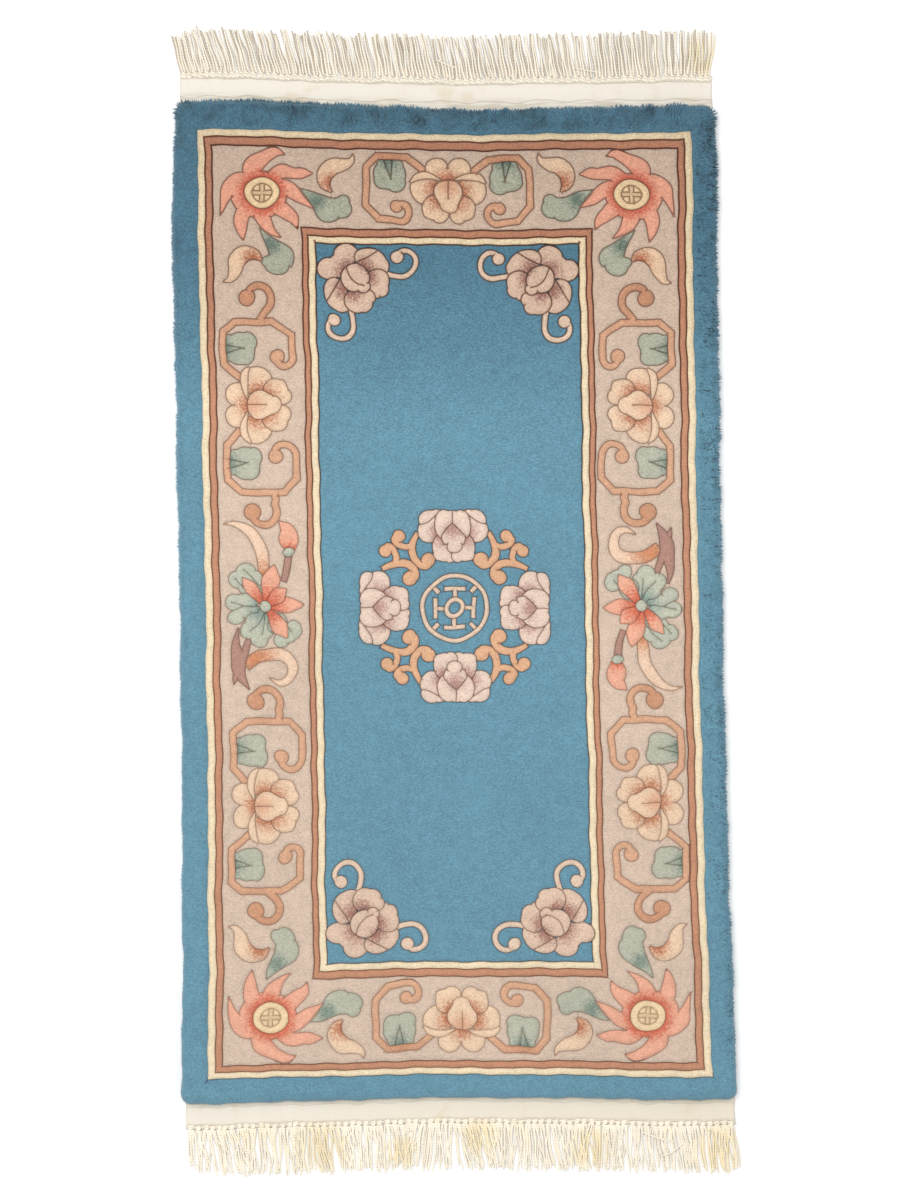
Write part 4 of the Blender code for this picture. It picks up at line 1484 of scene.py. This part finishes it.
def fringe(end):
    """The loose cords and the knots of one end, as lines of points."""
    chance = random.Random(RANDOM_SEED + end)
    cords, knots = Lines(), Lines()
    strands = CORDS_A_KNOT[end]
    loose = LOOSENESS[end]
    sway = 0.0
    for k in range(KNOTS):
        share = (k + 0.5) / KNOTS
        x = (share - 0.5) * KNOT_ROW + chance.gauss(0, 0.0005)
        row = KNOT_LINES[end] + chance.gauss(0, 0.0006)
        add_knot(knots, chance, x, row, end)
        sway = 0.75 * sway + chance.gauss(0, loose)
        heading = float(np.interp(share, *LEANINGS[end])) + sway
        for strand in range(strands):
            aside = strand - (strands - 1) / 2
            start = (x + aside * CORDS_BREADTH / strands, row + end * KNOT_LENGTHS[end] * 0.8)
            turn = heading + 0.03 * aside + chance.gauss(0, 1.4 * loose)
            at_corner = float(np.interp(share, (0, 0.05), (0.8, 1)))
            length = CORD_LENGTHS[end] * chance.uniform(0.90, 1.05) * at_corner
            lies_over = strand % 2
            layer = lies_over * 1.3 + chance.uniform(0, 0.5)
            path = cord_path(chance, start, turn, length, end, layer)
            # A low tone, for the lower cord of each pair, paints its shade
            tone = chance.uniform(*(LIGHT_TONES if lies_over else SHADED_UNDER_TONES[end]))
            cords.add(path, CORD_THICKNESS * chance.uniform(0.88, 1.08), tone)
    for start_x, beyond, heading, length in STRAYS[end]:
        start = (start_x, KNOT_LINES[end] + end * beyond)
        path = cord_path(chance, start, math.radians(heading), length, end, 3.2)
        cords.add(path, CORD_THICKNESS * 0.85, 0.9)
    return cords, knots


def cord_path(chance, start, heading, length, end, layer):
    """A loose cord that leaves its knot at a heading, wanders a little, and lies down on what is under it."""
    bend = chance.gauss(0, 1.6 * LOOSENESS[end])
    wave, sway = chance.uniform(0, 2 * math.pi), chance.gauss(0, 1.6 * LOOSENESS[end])
    x, y = start
    rest = CORD_THICKNESS / 2 + LAYER_HEIGHT * layer
    path = []
    for k in range(CORD_STEPS + 1):
        share = k / CORD_STEPS
        height = rest + (KNOT_HEIGHT - rest) * max(0.0, 1 - share * 5)
        path.append((*lie(np.array(((x, y),)))[0], height))
        angle = heading + bend * share * share + sway * math.sin(wave + 4 * share)
        x += length / CORD_STEPS * math.sin(angle)
        y += length / CORD_STEPS * math.cos(angle) * end
    return path


def add_knot(knots, chance, x, row, end):
    """A wrapped knot: a thick cord wound nearly twice round the gathered yarns."""
    turn = chance.uniform(-0.6, 0.6)
    tilt = chance.gauss(0.0, 0.12)
    path = []
    for k in range(KNOT_STEPS + 1):
        share = k / KNOT_STEPS
        angle = turn + share * KNOT_TURN
        across = KNOT_RADIUS * math.cos(angle)
        along = (0.06 + share * 0.78) * KNOT_LENGTHS[end]
        place = lie(np.array(((x + across + tilt * along, row + end * along),)))[0]
        path.append((*place, KNOT_HEIGHT + KNOT_RADIUS * 0.45 * math.sin(angle)))
    knots.add(path, KNOT_CORD, chance.uniform(0.75, 1.0))


def twined_edge(end):
    """Two thin cords twined round each other along the knots, where the last wefts are held."""
    lines = Lines()
    turns = round(KNOT_ROW / TWINE_PITCH)
    share = np.linspace(0, 1, turns * 6)
    x = (share - 0.5) * KNOT_ROW
    y = np.full(len(x), KNOT_LINES[end] - end * TWINE_INSET)
    for start in (0, math.pi):
        angle = start + share * turns * 2 * math.pi
        laid = lie(np.column_stack((x, y + TWINE_RADIUS * np.cos(angle))))
        height = CLOTH_THICKNESS + TWINE_LIFT + TWINE_RADIUS * np.sin(angle)
        lines.add(np.column_stack((laid, height)), TWINE_THICKNESS, 0.5, 0.0)
    return lines, len(x)


# The cotton cloth under the pile

CLOTH_COLUMNS = 313
UPPER_WEB_ROWS = 16
LOWER_WEB_ROWS = 14
HIDDEN_ROWS = 12
HIDDEN_HALF = 0.66
WEB_START = 0.010  # how far under the pile's edge the fine rows start
CLOTH_FOOT = 0.0002
CLOTH_SINK = 0.0002
CLOTH_WAVE = 0.0007


def cloth_mesh():
    """The cloth as one closed sheet, finely gridded at its two bare webs."""
    across = np.linspace(-WEB_WIDTH / 2, WEB_WIDTH / 2, CLOTH_COLUMNS)
    upper = np.linspace(HALF_LENGTH - WEB_START, KNOT_LINES[1] + 0.0060, UPPER_WEB_ROWS)
    lower = np.linspace(KNOT_LINES[-1] - 0.0045, WEB_START - HALF_LENGTH, LOWER_WEB_ROWS)
    along = np.concatenate((lower, np.linspace(-HIDDEN_HALF, HIDDEN_HALF, HIDDEN_ROWS), upper))
    grid = np.array([(x, y) for y in along for x in across])
    waves = [0.5 * ripple(x, y, 40, 0, 25) + 0.3 * ripple(x, y, 110, 2, 60) for x, y in grid]
    bare = (np.abs(grid[:, 1]) > HALF_LENGTH - 0.004).astype(float)
    laid = lie(grid)
    height = CLOTH_THICKNESS - CLOTH_SINK + CLOTH_WAVE * np.array(waves) * bare
    top = np.column_stack((laid, height))
    bottom = np.column_stack((laid, np.full(len(laid), CLOTH_FOOT)))
    columns, count = len(across), len(grid)
    faces = []
    for row in range(len(along) - 1):
        for column in range(columns - 1):
            a = row * columns + column
            quad = [a, a + 1, a + 1 + columns, a + columns]
            faces.append(quad)
            faces.append([count + k for k in quad[::-1]])
    last = count - columns
    rim = list(range(columns)) + [columns * r - 1 for r in range(2, len(along))]
    rim += list(range(count - 1, last - 1, -1)) + [columns * r for r in range(len(along) - 2, 0, -1)]
    for a, b in zip(rim, rim[1:] + rim[:1]):
        faces.append([b, a, count + a, count + b])
    mesh = new_mesh("foundation", np.vstack((top, bottom)), faces)
    from_pile = (np.abs(grid[:, 1]) - HALF_LENGTH) * bare
    set_attribute(mesh, "from_pile", "FLOAT", "POINT", np.concatenate((from_pile, from_pile * 0)))
    return mesh


# The scene


def build_pile():
    """The carved pile and the loose locks along its four edges."""
    new_piece("carved_pile", carve_pile(draw_design()), wool_material(), "pile")
    wool_locks = tuft_material()
    grower = lock_grower()
    for number, (edge, locks) in enumerate(loose_places().items()):
        name = "loose_locks_" + edge
        starts, turns, sizes, crevices_and_shade = zip(*locks)
        attributes = (
            ("turn", "FLOAT_VECTOR", turns),
            ("size", "FLOAT_VECTOR", sizes),
            ("crevice_and_shade", "FLOAT", crevices_and_shade),
        )
        seed = RANDOM_SEED + number
        mesh = grower.grown(name, starts, (), attributes, Seed=seed, Bend=LOCK_BEND, Material=wool_locks)
        new_piece(name, mesh, wool_locks, "pile", replaces=False)


def build_cotton():
    """The cloth, and at each end its cords, knots and twined edge."""
    cloth = new_piece("cotton_foundation", cloth_mesh(), cloth_material(), "foundation")
    yarn = yarn_material()
    grower = cord_grower()
    for end, node in ((1, "fringe_upper"), (-1, "fringe_lower")):
        cords, knots = fringe(end)
        twine, twine_rings = twined_edge(end)
        parts = (("cords", cords, 14, 6), ("knots", knots, 17, 6), ("twine", twine, twine_rings, 5))
        for part, lines, rings, sides in parts:
            name = node + "_" + part
            attributes = (("thickness", "FLOAT", lines.thickness), ("tone", "FLOAT", lines.tone))
            mesh = grower.grown(
                name, lines.points, lines.edges, attributes, Rings=rings, Sides=sides, Material=yarn
            )
            new_piece(name, mesh, yarn, node, part == "cords")


def build_studio():
    """A pale floor, soft light from all sides, and a little more from one side."""
    corners = [(FLOOR_HALF * x, FLOOR_HALF * y, 0) for x, y in ((-1, -1), (1, -1), (1, 1), (-1, 1))]
    floor_mesh = new_mesh("floor", corners, [(0, 1, 2, 3)])
    floor = bpy.data.objects.new("floor", floor_mesh)
    bpy.context.collection.objects.link(floor)
    floor_mesh.materials.append(floor_material())

    world = bpy.data.worlds.new("soft white")
    world.use_nodes = True
    background = world.node_tree.nodes["Background"]
    background.inputs["Color"].default_value = (1, 1, 1, 1)
    background.inputs["Strength"].default_value = SKY_STRENGTH
    bpy.context.scene.world = world

    lamp = bpy.data.lights.new("soft box", "AREA")
    lamp.shape = "DISK"
    lamp.size = LAMP_SIZE
    lamp.energy = LAMP_POWER
    holder = bpy.data.objects.new("soft box", lamp)
    holder.location = LAMP_PLACE
    holder.rotation_euler = (Vector((0, 0, 0)) - holder.location).to_track_quat("-Z", "Y").to_euler()
    bpy.context.collection.objects.link(holder)
    bpy.context.scene.view_settings.view_transform = "Standard"


def aim_camera():
    """A camera straight above, that takes in what the photograph does."""
    camera = bpy.data.cameras.new("camera")
    camera.sensor_width = SENSOR
    camera.lens = SENSOR * CAMERA_HEIGHT / VIEW_HEIGHT
    holder = bpy.data.objects.new("camera", camera)
    holder.location = (*VIEW_CENTRE, CAMERA_HEIGHT)
    bpy.context.collection.objects.link(holder)
    bpy.context.scene.camera = holder


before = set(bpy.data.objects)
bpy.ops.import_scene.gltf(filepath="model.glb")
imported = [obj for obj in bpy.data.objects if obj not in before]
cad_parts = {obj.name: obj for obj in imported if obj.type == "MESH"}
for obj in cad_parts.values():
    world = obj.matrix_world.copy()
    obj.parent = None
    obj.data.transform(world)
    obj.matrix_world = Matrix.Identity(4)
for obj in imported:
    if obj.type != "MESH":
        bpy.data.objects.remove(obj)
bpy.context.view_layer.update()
aim_camera()
build_pile()
build_cotton()
build_studio()
